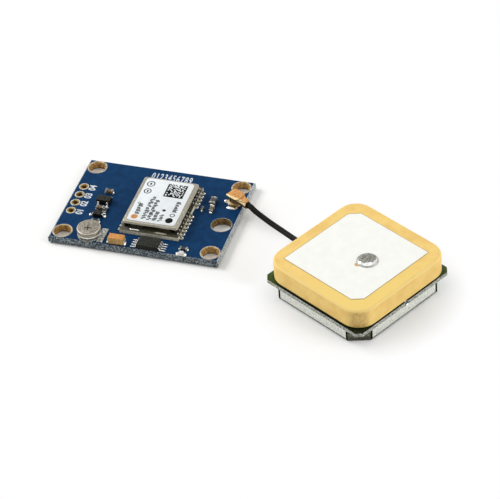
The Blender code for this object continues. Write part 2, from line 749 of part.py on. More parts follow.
def make_shield_frame(parent):
    """The wall under the lid, soldered to the module's board by feet between its windows."""
    size = shield_size()
    room = 2 * (SHIELD_WALL + SEAT)
    length, width = size[0] - room, size[1] - room
    foot = MODULE_BASE_THICKNESS + SEAT
    height = SHIELD_HEIGHT - SHIELD_WALL - SEAT
    corner = SHIELD_CORNER - SHIELD_WALL
    outer = rounded_rectangle(length, width, corner, 3)
    wall = 2 * SHIELD_WALL
    inner = rounded_rectangle(length - wall, width - wall, corner - SHIELD_WALL, 3)
    mesh = flat_mesh("module_shield_frame", [outer, inner], height, foot)
    made = piece("module_shield_frame", mesh, "steel", parent)
    windows = bmesh.new()
    tall = SHIELD_WINDOW_HEIGHT + OVERRUN
    low = foot - OVERRUN
    gap = length / 2 - SHIELD_FOOT_LENGTH
    corner_gap = gap * 0.35
    across = width + 2 * OVERRUN
    along = length + 2 * OVERRUN
    add_block(windows, (gap, across, tall), (0.0, 0.0, low))
    for side in (-1.0, 1.0):
        x = side * (gap / 2 + SHIELD_FOOT_LENGTH + corner_gap / 2)
        add_block(windows, (corner_gap, across, tall), (x, 0.0, low))
    side_foot = SHIELD_FOOT_LENGTH / 2
    span = (width - 4 * side_foot) / 4
    for index in (-1, 0, 1):
        add_block(windows, (along, span, tall), (0.0, index * (span + side_foot), low))
    combine(made, tool("shield_windows", to_mesh(windows, "shield_windows"), parent), "DIFFERENCE")


def make_module_label(parent):
    """The paper sticker on the can."""
    size = shield_size()
    length = size[0] - 2 * LABEL_MARGIN_X
    width = size[1] - 2 * LABEL_MARGIN_Y
    outline = rounded_rectangle(length, width, LABEL_CORNER, CORNER_STEPS)
    base = MODULE_BASE_THICKNESS + SEAT + SHIELD_HEIGHT + SEAT
    piece("module_label", flat_mesh("module_label", [outline], LABEL_THICKNESS, base), "paper", parent)


def make_module_inside(parent):
    """The parts under the can: the receiver chip, its reference crystal and its input filter."""
    top = MODULE_BASE_THICKNESS + SEAT
    chip_y = -MODULE_LENGTH / 8
    size = (RECEIVER_CHIP_SIDE, RECEIVER_CHIP_SIDE, RECEIVER_CHIP_HEIGHT)
    mesh = block_mesh("receiver_chip", size, (0.0, chip_y, top), PACKAGE_EDGE)
    piece("receiver_chip", mesh, "black epoxy", parent)
    row_y = chip_y + RECEIVER_CHIP_SIDE / 2 + INNER_PART_GAP
    size = (CRYSTAL_LENGTH, CRYSTAL_WIDTH, CRYSTAL_HEIGHT)
    place = (-INNER_PART_GAP / 2 - CRYSTAL_LENGTH / 2, row_y + CRYSTAL_WIDTH / 2, top)
    mesh = block_mesh("reference_crystal", size, place, PACKAGE_EDGE)
    piece("reference_crystal", mesh, "steel", parent)
    size = (SAW_LENGTH, SAW_WIDTH, SAW_HEIGHT)
    place = (INNER_PART_GAP / 2 + SAW_LENGTH / 2, row_y + SAW_WIDTH / 2, top)
    mesh = block_mesh("module_saw_filter", size, place, PACKAGE_EDGE)
    piece("module_saw_filter", mesh, "brown ceramic", parent)


def make_module():
    """The whole receiver module."""
    x, y = module_place()
    parent = frame("module_frame", (x, y, ON_BOARD))
    make_module_base(parent)
    make_module_shield(parent)
    make_shield_frame(parent)
    make_module_label(parent)
    make_module_inside(parent)


# Backup cell.

def make_cell():
    """The coin cell, can upwards: can, gasket and cap."""
    x, y = cell_place()
    place = (x, y, CELL_BOTTOM)
    rim = CELL_RADIUS - CELL_LIP
    recess = CELL_CAP_DEPTH
    top = [(CELL_RADIUS - CELL_EDGE + px, CELL_CAN_HEIGHT - CELL_EDGE + pz)
           for px, pz in reversed(arc((0.0, 0.0), CELL_EDGE, 0.0, 90.0, 3))]
    under = [(CELL_RADIUS, 0.0), (rim, 0.0), (rim, recess), (0.0, recess)]
    profile = [(0.0, CELL_CAN_HEIGHT)] + top + under
    turned_piece("cell_can", profile, "steel", place, closed=False)
    gasket_top = recess - SEAT
    inner = CELL_CAP_RADIUS + SLIP
    outer = rim - SLIP
    profile = [(outer, gasket_top), (outer, 0.0), (inner, 0.0), (inner, gasket_top)]
    turned_piece("cell_gasket", profile, "black epoxy", place)
    low = -(CELL_LIFT - SEAT)
    profile = [(0.0, gasket_top), (CELL_CAP_RADIUS, gasket_top), (CELL_CAP_RADIUS, low), (0.0, low)]
    turned_piece("cell_cap", profile, "steel", place, closed=False)


def make_cell_tabs():
    """The round tab under the cell, and the strip that rises to the can's rim."""
    x, y = cell_place()
    strip_left = x + CELL_RADIUS - CELL_LIP - TAB_THICKNESS
    flat_side = strip_left - SIDE_TAB_GAP
    half_angle = math.degrees(math.acos((flat_side - x) / CELL_RADIUS))
    outline = arc((x, y), CELL_RADIUS, half_angle, 360.0 - half_angle, ROUND_STEPS)
    mesh = flat_mesh("cell_lower_tab", [outline], TAB_THICKNESS, ON_BOARD)
    piece("cell_lower_tab", mesh, "tin")
    right = side_tab_right()
    bm = bmesh.new()
    add_block(bm, (right - strip_left, SIDE_TAB_LENGTH, TAB_THICKNESS),
              ((right + strip_left) / 2, y + SIDE_TAB_SHIFT, ON_BOARD))
    side_tab = piece("cell_side_tab", to_mesh(bm, "cell_side_tab"), "tin")
    finger_height = CELL_BOTTOM - SEAT - ON_BOARD
    mesh = block_mesh("side_tab_finger", (TAB_THICKNESS, SIDE_TAB_FINGER, finger_height),
                      (strip_left + TAB_THICKNESS / 2, y, ON_BOARD))
    combine(side_tab, tool("side_tab_finger", mesh), "UNION")


# Tantalum capacitor.

def make_tantalum():
    """The moulded body between two folded metal strips."""
    x, y = tantalum_place()
    parent = frame("tantalum_frame", (x, y, ON_BOARD))
    size = (TANTALUM_LENGTH, TANTALUM_WIDTH, TANTALUM_HEIGHT)
    lift = TANTALUM_TERMINAL_THICKNESS + SEAT
    mesh = block_mesh("tantalum_body", size, (0.0, 0.0, lift), TANTALUM_EDGE, 2)
    piece("tantalum_body", mesh, "orange epoxy", parent)
    inner = TANTALUM_LENGTH / 2 + SEAT
    outer = inner + TANTALUM_TERMINAL_THICKNESS
    height = lift + TANTALUM_HEIGHT / 2
    foot = inner - TANTALUM_FOOT
    thin = TANTALUM_TERMINAL_THICKNESS
    outline = [(foot, 0.0), (outer, 0.0), (outer, height), (inner, height), (inner, thin), (foot, thin)]
    for index, turn in enumerate((math.pi, 0.0), start=1):
        name = f"tantalum_terminal_{index}"
        mesh = flat_mesh(name, [outline], TANTALUM_TERMINAL_WIDTH, -TANTALUM_TERMINAL_WIDTH / 2)
        mesh.transform(Matrix.Rotation(turn, 4, "Z") @ Matrix.Rotation(math.pi / 2, 4, "X"))
        piece(name, mesh, "tin", parent)


# Moulded packages.

def gull_wing(width, body_half, exit_height):
    """One lead that leaves the body, steps down and ends in a flat foot, pointing along X."""
    thick = LEAD_THICKNESS
    start = body_half - OVERRUN
    knee = body_half + LEAD_SHANK
    foot_start = knee + thick
    tip = foot_start + LEAD_FOOT
    low, high = exit_height, exit_height + thick
    outline = [
        (start, low), (knee - thick, low), (foot_start - thick, 0.0), (tip, 0.0),
        (tip, thick), (foot_start, thick), (knee, high), (start, high)]
    mesh = flat_mesh("lead", [outline], width, -width / 2)
    mesh.transform(Matrix.Rotation(math.pi / 2, 4, "X"))
    return mesh


def make_package(name, place, size, leads, lead_width, finish="black epoxy"):
    """A moulded body joined with its leads: each lead is a direction and a shift along the body."""
    parent = frame(f"{name}_frame", (place[0], place[1], ON_BOARD))
    body = block_mesh(name, size, (0.0, 0.0, PACKAGE_STANDOFF), PACKAGE_EDGE)
    package = piece(name, body, finish, parent)
    exit_height = PACKAGE_STANDOFF + size[2] / 2 - LEAD_THICKNESS / 2
    meshes = []
    for turn, shift in leads:
        along_x = abs(math.cos(turn)) > 0.5
        mesh = gull_wing(lead_width, (size[0] if along_x else size[1]) / 2, exit_height)
        mesh.transform(Matrix.Translation((0.0, shift, 0.0)))
        mesh.transform(Matrix.Rotation(turn, 4, "Z"))
        meshes.append(mesh)
    combine(package, tool(f"{name}_leads", merged(f"{name}_leads", meshes), parent), "UNION")


def make_packages(column):
    """The regulator, the memory chip and the charging diode."""
    quarter = math.pi / 2
    leads = [(quarter, shift * REGULATOR_PITCH) for shift in (-1, 0, 1)]
    leads += [(-quarter, shift * REGULATOR_PITCH) for shift in (-1, 1)]
    size = (REGULATOR_LENGTH, REGULATOR_WIDTH, REGULATOR_HEIGHT)
    make_package("regulator", column["regulator"], size, leads, REGULATOR_LEAD_WIDTH)
    row = [(index - (MEMORY_LEADS_A_SIDE - 1) / 2) * MEMORY_PITCH for index in range(MEMORY_LEADS_A_SIDE)]
    leads = [(turn, shift) for turn in (0.0, math.pi) for shift in row]
    size = (MEMORY_WIDTH, MEMORY_LENGTH, MEMORY_HEIGHT)
    make_package("memory_chip", memory_place(), size, leads, MEMORY_LEAD_WIDTH)
    leads = [(0.0, 0.0), (math.pi, 0.0)]
    size = (DIODE_LENGTH, DIODE_WIDTH, DIODE_HEIGHT)
    make_package("charging_diode", column["charging_diode"], size, leads, DIODE_LEAD_WIDTH)


# Chip parts.

def make_chip(name, place, size, finish, turn=0.0):
    """A ceramic block with a metal cap over each end."""
    parent = frame(f"{name}_frame", (place[0], place[1], ON_BOARD), turn)
    wrap = CHIP_END_THICKNESS
    length, width, height = size
    body = (length - 2 * wrap, width - 2 * wrap, height - 2 * wrap)
    chip = piece(name, block_mesh(name, body, (0.0, 0.0, wrap)), finish, parent)
    caps = bmesh.new()
    for side in (-1.0, 1.0):
        add_block(caps, (CHIP_END, width, height), (side * (length - CHIP_END) / 2, 0.0, 0.0))
    combine(chip, tool(f"{name}_ends", to_mesh(caps, f"{name}_ends"), parent), "UNION")


def make_chips(column):
    """The resistors, capacitors and the inductor."""
    capacitor = (CHIP_LENGTH, CHIP_WIDTH, CAPACITOR_HEIGHT)
    resistor = (CHIP_LENGTH, CHIP_WIDTH, RESISTOR_HEIGHT)
    small = (SMALL_CHIP_LENGTH, SMALL_CHIP_WIDTH, SMALL_CHIP_HEIGHT)
    inductor = (INDUCTOR_LENGTH, INDUCTOR_WIDTH, INDUCTOR_HEIGHT)
    quarter = math.pi / 2
    make_chip("input_capacitor", column["input_capacitor"], capacitor, "brown ceramic")
    make_chip("output_capacitor", column["output_capacitor"], capacitor, "brown ceramic")
    make_chip("feed_resistor", column["feed_resistor"], resistor, "black epoxy", quarter)
    make_chip("charge_resistor", column["charge_resistor"], resistor, "black epoxy")
    led_x, led_y = led_place()
    place = (led_x, led_y + CHIP_WIDTH + 2 * PART_GAP)
    make_chip("led_resistor", place, resistor, "black epoxy")
    small_x, inductor_x = middle_row()[1:]
    y = socket_place()[1] - INDUCTOR_SETBACK
    make_chip("supply_inductor", (inductor_x, y), inductor, "brown ceramic", quarter)
    y -= INDUCTOR_LENGTH / 2 + 1.75 * PART_GAP + CHIP_LENGTH / 2
    rf_x = inductor_x + RF_CAPACITOR_SHIFT
    make_chip("rf_capacitor", (rf_x, y), capacitor, "brown ceramic", quarter)
    make_chip("bypass_capacitor", (small_x, y), small, "brown ceramic", quarter)


def make_led():
    """The light-emitting diode: a small base and its moulded lens."""
    parent = frame("led_frame", (*led_place(), ON_BOARD))
    mesh = block_mesh("led_base", (CHIP_LENGTH, CHIP_WIDTH, LED_BASE_HEIGHT), (0.0, 0.0, 0.0))
    piece("led_base", mesh, "white plastic", parent)
    bm = bmesh.new()
    foot = LED_BASE_HEIGHT + SEAT
    verts = add_block(bm, (LED_LENS_LENGTH, CHIP_WIDTH, LED_LENS_HEIGHT), (0.0, 0.0, foot))
    for vert in verts:
        if vert.co.z > foot + LED_LENS_HEIGHT / 2:
            vert.co.x -= math.copysign(LED_LENS_TAPER, vert.co.x)
    piece("led_lens", to_mesh(bm, "led_lens"), "white plastic", parent)


# Coaxial socket and plug, in frames on the socket's axis.

def make_socket():
    """The socket: a moulded base, a ring with two feet, and a centre pin."""
    x, y = socket_place()
    parent = frame("socket_frame", (x, y, ON_BOARD))
    low = SOCKET_FOOT_THICKNESS + SEAT
    bm = bmesh.new()
    add_block(bm, (SOCKET_SIDE, SOCKET_SIDE, SOCKET_BASE_HEIGHT), (0.0, 0.0, low))
    bevel_edges(bm, SOCKET_CORNER, 1, is_upright)
    base = piece("socket_base", to_mesh(bm, "socket_base"), "white plastic", parent)
    bore = bmesh.new()
    high = low + SOCKET_BASE_HEIGHT
    radius = SOCKET_PIN_RADIUS + SLIP
    add_cylinder(bore, radius, -OVERRUN, high + OVERRUN, (0.0, 0.0), SMALL_ROUND_STEPS)
    combine(base, tool("socket_bore", to_mesh(bore, "socket_bore"), parent), "DIFFERENCE")
    ring_base = high + SEAT
    ring_top = ring_base + SOCKET_RING_HEIGHT
    outer = SOCKET_RING_RADIUS
    inner = outer - SOCKET_RING_WALL
    bead = SOCKET_RING_WALL / 2
    profile = [
        (outer - bead, ring_top), (outer, ring_top - bead), (outer, ring_base),
        (inner, ring_base), (inner, ring_top)]
    origin = (0.0, 0.0, 0.0)
    shell = turned_piece("socket_shell", profile, "gold", origin, SMALL_ROUND_STEPS, True, parent)
    combine(shell, tool("socket_feet", socket_feet_mesh(ring_base), parent), "UNION")
    pin_top = ring_top - SOCKET_RING_WALL
    radius = SOCKET_PIN_RADIUS
    profile = [
        (0.0, pin_top), (radius * 0.6, pin_top), (radius, pin_top - radius),
        (radius, 0.0), (0.0, 0.0)]
    pin = turned_piece("socket_pin", profile, "gold", origin, SMALL_ROUND_STEPS, False, parent)
    size = (SOCKET_TAIL_LENGTH, SOCKET_TAIL_WIDTH, SOCKET_FOOT_THICKNESS * 0.9)
    tail = block_mesh("socket_tail", size, (-SOCKET_TAIL_LENGTH / 2, 0.0, 0.0))
    combine(pin, tool("socket_tail", tail, parent), "UNION")


def socket_feet_mesh(ring_base):
    """Two strips that run from the ring over the base's sides and down to the board."""
    thick = SOCKET_FOOT_THICKNESS
    half = SOCKET_SIDE / 2
    inner = SOCKET_RING_RADIUS - SOCKET_RING_WALL / 2
    wall = half + SEAT
    tip = half + SOCKET_FOOT_REACH
    top = ring_base + thick
    outline = [
        (inner, ring_base), (wall, ring_base), (wall, thick), (half * 0.6, thick), (half * 0.6, 0.0),
        (tip, 0.0), (tip, thick), (wall + thick, thick), (wall + thick, top), (inner, top)]
    meshes = []
    for turn in (-math.pi / 2, math.pi / 2):
        mesh = flat_mesh("foot", [outline], SOCKET_FOOT_LENGTH, -SOCKET_FOOT_LENGTH / 2)
        mesh.transform(Matrix.Rotation(turn, 4, "Z") @ Matrix.Rotation(math.pi / 2, 4, "X"))
        meshes.append(mesh)
    return merged("socket_feet", meshes)


def plug_head_outline():
    """The plug's top plate: square at the back, tapered towards the neck."""
    half = PLUG_HEAD_WIDTH / 2
    rear = -PLUG_HEAD_REAR
    corner = PLUG_HEAD_CORNER
    bend = PLUG_HEAD_BEND
    return [
        (rear, -half + corner), (rear + corner, -half), (PLUG_HEAD_END - bend, -half),
        (PLUG_HEAD_END, -half + bend), (PLUG_HEAD_END, half - bend), (PLUG_HEAD_END - bend, half),
        (rear + corner, half), (rear, half - corner)]


def plug_neck_outline():
    """The lower part of the plate, which narrows over the crimp."""
    wide = PLUG_HEAD_WIDTH * 0.36
    narrow = CABLE_DIAMETER / 2 + PLUG_BORE_GAP
    start = PLUG_HEAD_END * 0.8
    shoulder = PLUG_HEAD_END + PLUG_SHOULDER
    taper = PLUG_CRIMP_END - PLUG_TIP_TAPER
    tip = PLUG_CRIMP_END + PLUG_TIP
    right = [
        (start, -wide), (PLUG_HEAD_END, -wide), (shoulder, -narrow), (taper, -narrow),
        (tip, -narrow / 2)]
    return right + [(x, -y) for x, y in reversed(right)]


def make_plug():
    """The snap-on plug: its folded shell, the insulator and the contact."""
    x, y = socket_place()
    parent = frame("plug_frame", (x, y, BOARD_TOP), PLUG_TURN)
    plate_low = PLUG_TOP - PLUG_SHEET
    mesh = flat_mesh("plug_shell", [plug_head_outline()], PLUG_SHEET, plate_low)
    shell = piece("plug_shell", mesh, "gold", parent)
    mesh = flat_mesh("plug_neck", [plug_neck_outline()], PLUG_SHEET, plate_low - PLUG_NECK_DROP)
    combine(shell, tool("plug_neck", mesh, parent), "UNION")
    combine(shell, plug_skirt(parent, plate_low), "UNION")
    bore = CABLE_DIAMETER / 2 + PLUG_BORE_GAP
    outer = bore + PLUG_CRIMP_WALL
    crimp = lying_cylinder("plug_crimp", outer, PLUG_CRIMP_START, PLUG_CRIMP_END, parent)
    combine(shell, crimp, "UNION")
    end = PLUG_CRIMP_END + PLUG_TIP + OVERRUN
    cut = lying_cylinder("plug_bore", bore, SOCKET_RING_RADIUS / 2, end, parent)
    combine(shell, cut, "DIFFERENCE")
    slots = bmesh.new()
    low = PLUG_TOP - PLUG_SKIRT_HEIGHT - OVERRUN
    add_block(slots, (PLUG_SLOT, 4 * PLUG_HEAD_RADIUS, PLUG_SKIRT_HEIGHT * 0.75), (0.0, 0.0, low))
    combine(shell, tool("plug_slots", to_mesh(slots, "plug_slots"), parent), "DIFFERENCE")
    make_plug_inside(parent, plate_low)


def plug_skirt(parent, plate_low):
    """The round spring skirt that snaps over the socket's ring."""
    outer = PLUG_HEAD_RADIUS - SLIP
    inner = SOCKET_RING_RADIUS + SLIP
    low = PLUG_TOP - PLUG_SKIRT_HEIGHT
    high = plate_low + PLUG_SHEET / 2
    profile = [(outer, high), (outer, low), (inner, low), (inner, high)]
    return turn_profile(tool("plug_skirt", profile_mesh("plug_skirt", profile), parent), ROUND_STEPS)


def lying_cylinder(name, radius, start, end, parent):
    """A cylinder round the cable's axis in the plug."""
    bm = bmesh.new()
    add_cylinder(bm, radius, start, end, (0.0, 0.0), SMALL_ROUND_STEPS)
    mesh = to_mesh(bm, name)
    mesh.transform(Matrix.Rotation(math.pi / 2, 4, "Y"))
    made = tool(name, mesh, parent)
    made.location = (0.0, 0.0, PLUG_CABLE_HEIGHT)
    return made


def make_plug_inside(parent, plate_low):
    """The insulator under the plate and the contact that grips the socket's pin."""
    bore = SOCKET_PIN_RADIUS + SLIP
    outer = bore + CONTACT_WALL
    low = PLUG_CONTACT_FOOT
    high = PLUG_CABLE_HEIGHT + CONTACT_WALL / 2
    ring = SOCKET_RING_RADIUS - SOCKET_RING_WALL - SLIP
    ceiling = plate_low - SEAT
    profile = [(0.0, ceiling), (ring, ceiling), (ring, high + SEAT), (0.0, high + SEAT)]
    origin = (0.0, 0.0, 0.0)
    turned_piece("plug_insulator", profile, "white plastic", origin, SMALL_ROUND_STEPS, False, parent)
    profile = [(outer, high), (outer, low), (bore, low), (bore, high)]
    contact = turned_piece("plug_contact", profile, "gold", origin, SMALL_ROUND_STEPS, True, parent)
    start = bore + CONTACT_WALL / 2
    length = PLUG_CABLE_END - SEAT - start
    size = (length, CONTACT_WALL * 3, CONTACT_WALL * 0.9)
    tail = block_mesh("contact_tail", size, (start + length / 2, 0.0, high - CONTACT_WALL * 0.95))
    combine(contact, tool("contact_tail", tail, parent), "UNION")


# Coaxial cable.

def smooth_route(points, samples):
    """A Catmull-Rom curve through the route's points, sampled finely."""
    ends = [points[0] * 2 - points[1]] + points + [points[-1] * 2 - points[-2]]
    curve = []
    for a, b, c, d in zip(ends, ends[1:], ends[2:], ends[3:]):
        for step in range(samples):
            t = step / samples
            curve.append(0.5 * (2 * b + (c - a) * t + (2 * a - 5 * b + 4 * c - d) * t * t
                                + (3 * b - a - 3 * c + d) * t ** 3))
    curve.append(points[-1])
    return curve


def evenly_spaced(curve, spacing):
    """Points a regular distance apart along a finely sampled curve."""
    total = sum((b - a).length for a, b in zip(curve, curve[1:]))
    count = max(2, round(total / spacing))
    step = total / count
    chosen = [curve[0]]
    travelled = 0.0
    for a, b in zip(curve, curve[1:]):
        travelled += (b - a).length
        if travelled >= step * len(chosen) and len(chosen) < count:
            chosen.append(b)
    chosen.append(curve[-1])
    return chosen


def cable_route():
    """The lead's points, from its joint in the antenna to its end in the plug."""
    antenna = Matrix.Translation((ANTENNA_X, ANTENNA_Y, 0.0)) @ Matrix.Rotation(ANTENNA_TURN, 4, "Z")
    height = antenna_lead_height()
    wall = -ANTENNA_SHIELD_SIDE / 2
    inner = [CABLE_JOINT_X, wall / 2, wall, wall - STRAIGHT_FROM_CAN]
    route = [antenna @ Vector((x, LEAD_IN_Y, height)) for x in inner]
    route += [Vector(point) for point in LEAD_ROUTE]
    x, y = socket_place()
    plug = Matrix.Translation((x, y, BOARD_TOP)) @ Matrix.Rotation(PLUG_TURN, 4, "Z")
    outside = PLUG_CRIMP_END + STRAIGHT_FROM_PLUG
    route.append(plug @ Vector((outside, 0.0, PLUG_CABLE_HEIGHT - SAG_AT_PLUG)))
    for distance in (PLUG_CRIMP_END, PLUG_CABLE_END):
        route.append(plug @ Vector((distance, 0.0, PLUG_CABLE_HEIGHT)))
    return route


def make_cable():
    """The cable: a plain tube along its route."""
    curve = smooth_route(cable_route(), ROUTE_SAMPLES)
    points = evenly_spaced(curve, CABLE_POINT_SPACING * CABLE_DIAMETER)
    curve = bpy.data.curves.new("antenna_cable", "CURVE")
    curve.dimensions = "3D"
    curve.bevel_depth = CABLE_DIAMETER / 2
    curve.bevel_resolution = 2
    curve.use_fill_caps = True
    spline = curve.splines.new("POLY")
    spline.points.add(len(points) - 1)
    for target, source in zip(spline.points, points):
        target.co = (*source, 1.0)
    piece("antenna_cable", curve, "black jacket")


# Patch antenna, in a frame on the floor at its centre.

def antenna_lead_height():
    """The height of the cable's axis where it enters the can, just under the antenna's board."""
    return ANTENNA_SHIELD_HEIGHT - LEAD_IN_DROP


def chamfered_square(side, trim):
    """A square outline with all four corners cut off."""
    half = side / 2
    inner = half - trim
    return [(half, inner), (inner, half), (-inner, half), (-half, inner),
            (-half, -inner), (-inner, -half), (inner, -half), (half, -inner)]


def feed_hole(clearance=SLIP):
    """The outline of a hole for the feed pin."""
    return circle((FEED_X, FEED_Y), FEED_PIN_RADIUS + clearance, SMALL_HOLE_SIDES)


def make_antenna_shield(parent):
    """The can under the antenna's board: a folded sheet with a seam each side of every corner."""
    side = ANTENNA_SHIELD_SIDE
    bm = bmesh.new()
    add_block(bm, (side, side, ANTENNA_SHIELD_HEIGHT), (0.0, 0.0, 0.0))
    bevel_edges(bm, ANTENNA_SHIELD_CORNER, 1, is_upright)
    lid = [face for face in bm.faces if face.normal.z > 0.5]
    bmesh.ops.delete(bm, geom=lid, context="FACES_ONLY")
    bevel_edges(bm, ANTENNA_SHIELD_BEND, 2, is_level_at(0.0))
    can = piece("antenna_shield", to_mesh(bm, "antenna_shield"), "tin", parent)
    add_sheet(can, ANTENNA_SHIELD_WALL)
    cuts = bmesh.new()
    seam_height = ANTENNA_SHIELD_HEIGHT - ANTENNA_SEAM_START + OVERRUN
    depth = ANTENNA_SHIELD_WALL * 4
    for x, y in chamfered_square(side, ANTENNA_SHIELD_CORNER):
        size = (depth, ANTENNA_SEAM) if abs(x) > abs(y) else (ANTENNA_SEAM, depth)
        add_block(cuts, (*size, seam_height), (x, y, ANTENNA_SEAM_START))
    radius = CABLE_DIAMETER / 2 + CABLE_NOTCH_CLEARANCE
    low = antenna_lead_height() - radius
    notch = (depth, 2 * radius, ANTENNA_SHIELD_HEIGHT - low + OVERRUN)
    add_block(cuts, notch, (-side / 2, LEAD_IN_Y, low))
    combine(can, tool("antenna_cuts", to_mesh(cuts, "antenna_cuts"), parent), "DIFFERENCE")


def make_antenna_board(parent):
    """The antenna's board, with a soldered notch in one side."""
    low = ANTENNA_SHIELD_HEIGHT + SEAT
    outlines = [chamfered_square(ANTENNA_BOARD_SIDE, ANTENNA_BOARD_CORNER), feed_hole()]
    mesh = flat_mesh("antenna_board", outlines, ANTENNA_BOARD_THICKNESS, low)
    board = piece("antenna_board", mesh, "antenna laminate", parent)
    notch = bmesh.new()
    high = low + ANTENNA_BOARD_THICKNESS
    place = (ANTENNA_BOARD_SIDE / 2, FEED_Y)
    radius = ANTENNA_NOTCH_RADIUS
    add_cylinder(notch, radius, low - OVERRUN, high + OVERRUN, place, SMALL_HOLE_SIDES)
    combine(board, tool("antenna_notch", to_mesh(notch, "antenna_notch"), parent), "DIFFERENCE")
    return high


def make_ceramic(parent, low):
    """The ceramic block: round corners, a softened rim and the feed hole."""
    centre = (CERAMIC_SHIFT, CERAMIC_SHIFT)
    outline = rounded_rectangle(CERAMIC_SIDE, CERAMIC_SIDE, CERAMIC_CORNER, CORNER_STEPS, centre)
    mesh = flat_mesh("antenna_ceramic", [outline], CERAMIC_THICKNESS, low)
    bm = bmesh.new()
    bm.from_mesh(mesh)
    bpy.data.meshes.remove(mesh)
    bmesh.ops.dissolve_limit(bm, angle_limit=math.radians(1.0), verts=bm.verts, edges=bm.edges)
    bevel_edges(bm, CERAMIC_TOP_EDGE, 3, is_level_at(low + CERAMIC_THICKNESS))
    bevel_edges(bm, CERAMIC_BOTTOM_EDGE, 1, is_level_at(low))
    ceramic = piece("antenna_ceramic", to_mesh(bm, "antenna_ceramic"), "tan ceramic", parent)
    bore = bmesh.new()
    high = low + CERAMIC_THICKNESS
    place = (FEED_X, FEED_Y)
    radius = FEED_PIN_RADIUS + SLIP
    add_cylinder(bore, radius, low - OVERRUN, high + OVERRUN, place, SMALL_HOLE_SIDES)
    combine(ceramic, tool("feed_bore", to_mesh(bore, "feed_bore"), parent), "DIFFERENCE")
    return high


def patch_outline():
    """The silver square, with two opposite corners trimmed to tune it."""
    half = PATCH_SIDE / 2
    inner = half - PATCH_TRIM
    return [(half, half), (-inner, half), (-half, inner), (-half, -half), (inner, -half), (half, -inner)]


def make_feed(parent, patch_top):
    """The feed pin with its flat head, the solder over it and the joint below."""
    low = ANTENNA_SHIELD_HEIGHT + SEAT
    place = (FEED_X, FEED_Y, 0.0)
    head_low = patch_top + SEAT
    head_top = head_low + FEED_HEAD_HEIGHT
    radius = FEED_PIN_RADIUS
    profile = [
        (0.0, head_top), (FEED_HEAD_RADIUS, head_top), (FEED_HEAD_RADIUS, head_low),
        (radius, head_low), (radius, low - FEED_TAIL), (0.0, low - FEED_TAIL)]
    turned_piece("antenna_feed_pin", profile, "tin", place, SMALL_ROUND_STEPS, False, parent)
    reach = FEED_SOLDER_RADIUS
    height = FEED_SOLDER_HEIGHT
    dome = [(reach * math.sin(angle), head_low + height * math.cos(angle) ** 1.5)
            for angle in (math.radians(degrees) for degrees in (0, 22, 42, 58, 72, 83))]
    under = FEED_HEAD_RADIUS + SLIP
    room = head_top + SEAT
    profile = dome + [(reach, head_low), (under, head_low), (under, room), (0.0, room)]
    turned_piece("antenna_feed_solder", profile, "tin", place, ROUND_STEPS, False, parent)
    outer = FEED_JOINT_RADIUS
    inner = radius + SLIP
    top = low - SEAT
    foot = top - FEED_TAIL * 0.7
    shoulder = (outer * 0.7, top - FEED_TAIL * 0.3)
    profile = [(outer, top), shoulder, (inner * 1.3, foot), (inner, foot), (inner, top)]
    turned_piece("antenna_feed_joint", profile, "tin", place, SMALL_ROUND_STEPS, True, parent)


def hanging_block(name, size, at, finish, parent):
    """A part soldered to the underside of the antenna's board."""
    top = ANTENNA_SHIELD_HEIGHT
    mesh = block_mesh(name, size, (at[0], at[1], top - size[2]), PACKAGE_EDGE)
    piece(name, mesh, finish, parent)


def make_antenna_inside(parent):
    """The amplifier, its filter and passives, and the block of solder that holds the cable."""
    side = AMPLIFIER_SIDE
    place = (FEED_X, FEED_Y - FEED_JOINT_RADIUS - INNER_PART_GAP - side / 2)
    hanging_block("antenna_amplifier", (side, side, AMPLIFIER_HEIGHT), place, "black epoxy", parent)
    side = ANTENNA_SAW_LENGTH
    place = (CABLE_JOINT_X, -CABLE_JOINT_WIDTH / 2 - INNER_PART_GAP - side / 2)
    hanging_block("antenna_saw_filter", (side, side, ANTENNA_SAW_HEIGHT), place, "steel", parent)
    hanging_block("antenna_capacitor", (SMALL_CHIP_LENGTH, SMALL_CHIP_WIDTH, SMALL_CHIP_HEIGHT),
                  (CABLE_JOINT_X, CABLE_JOINT_WIDTH / 2 + 2 * INNER_PART_GAP), "brown ceramic", parent)
    hanging_block("antenna_resistor", (CHIP_LENGTH, CHIP_WIDTH, RESISTOR_HEIGHT),
                  (CABLE_JOINT_X, CABLE_JOINT_WIDTH / 2 + 4 * INNER_PART_GAP), "black epoxy", parent)
    length = CABLE_JOINT_LENGTH
    height = LEAD_IN_DROP + CABLE_DIAMETER / 4
    hanging_block("cable_joint", (length, CABLE_JOINT_WIDTH, height),
                  (CABLE_JOINT_X + SEAT + length / 2, LEAD_IN_Y), "tin", parent)


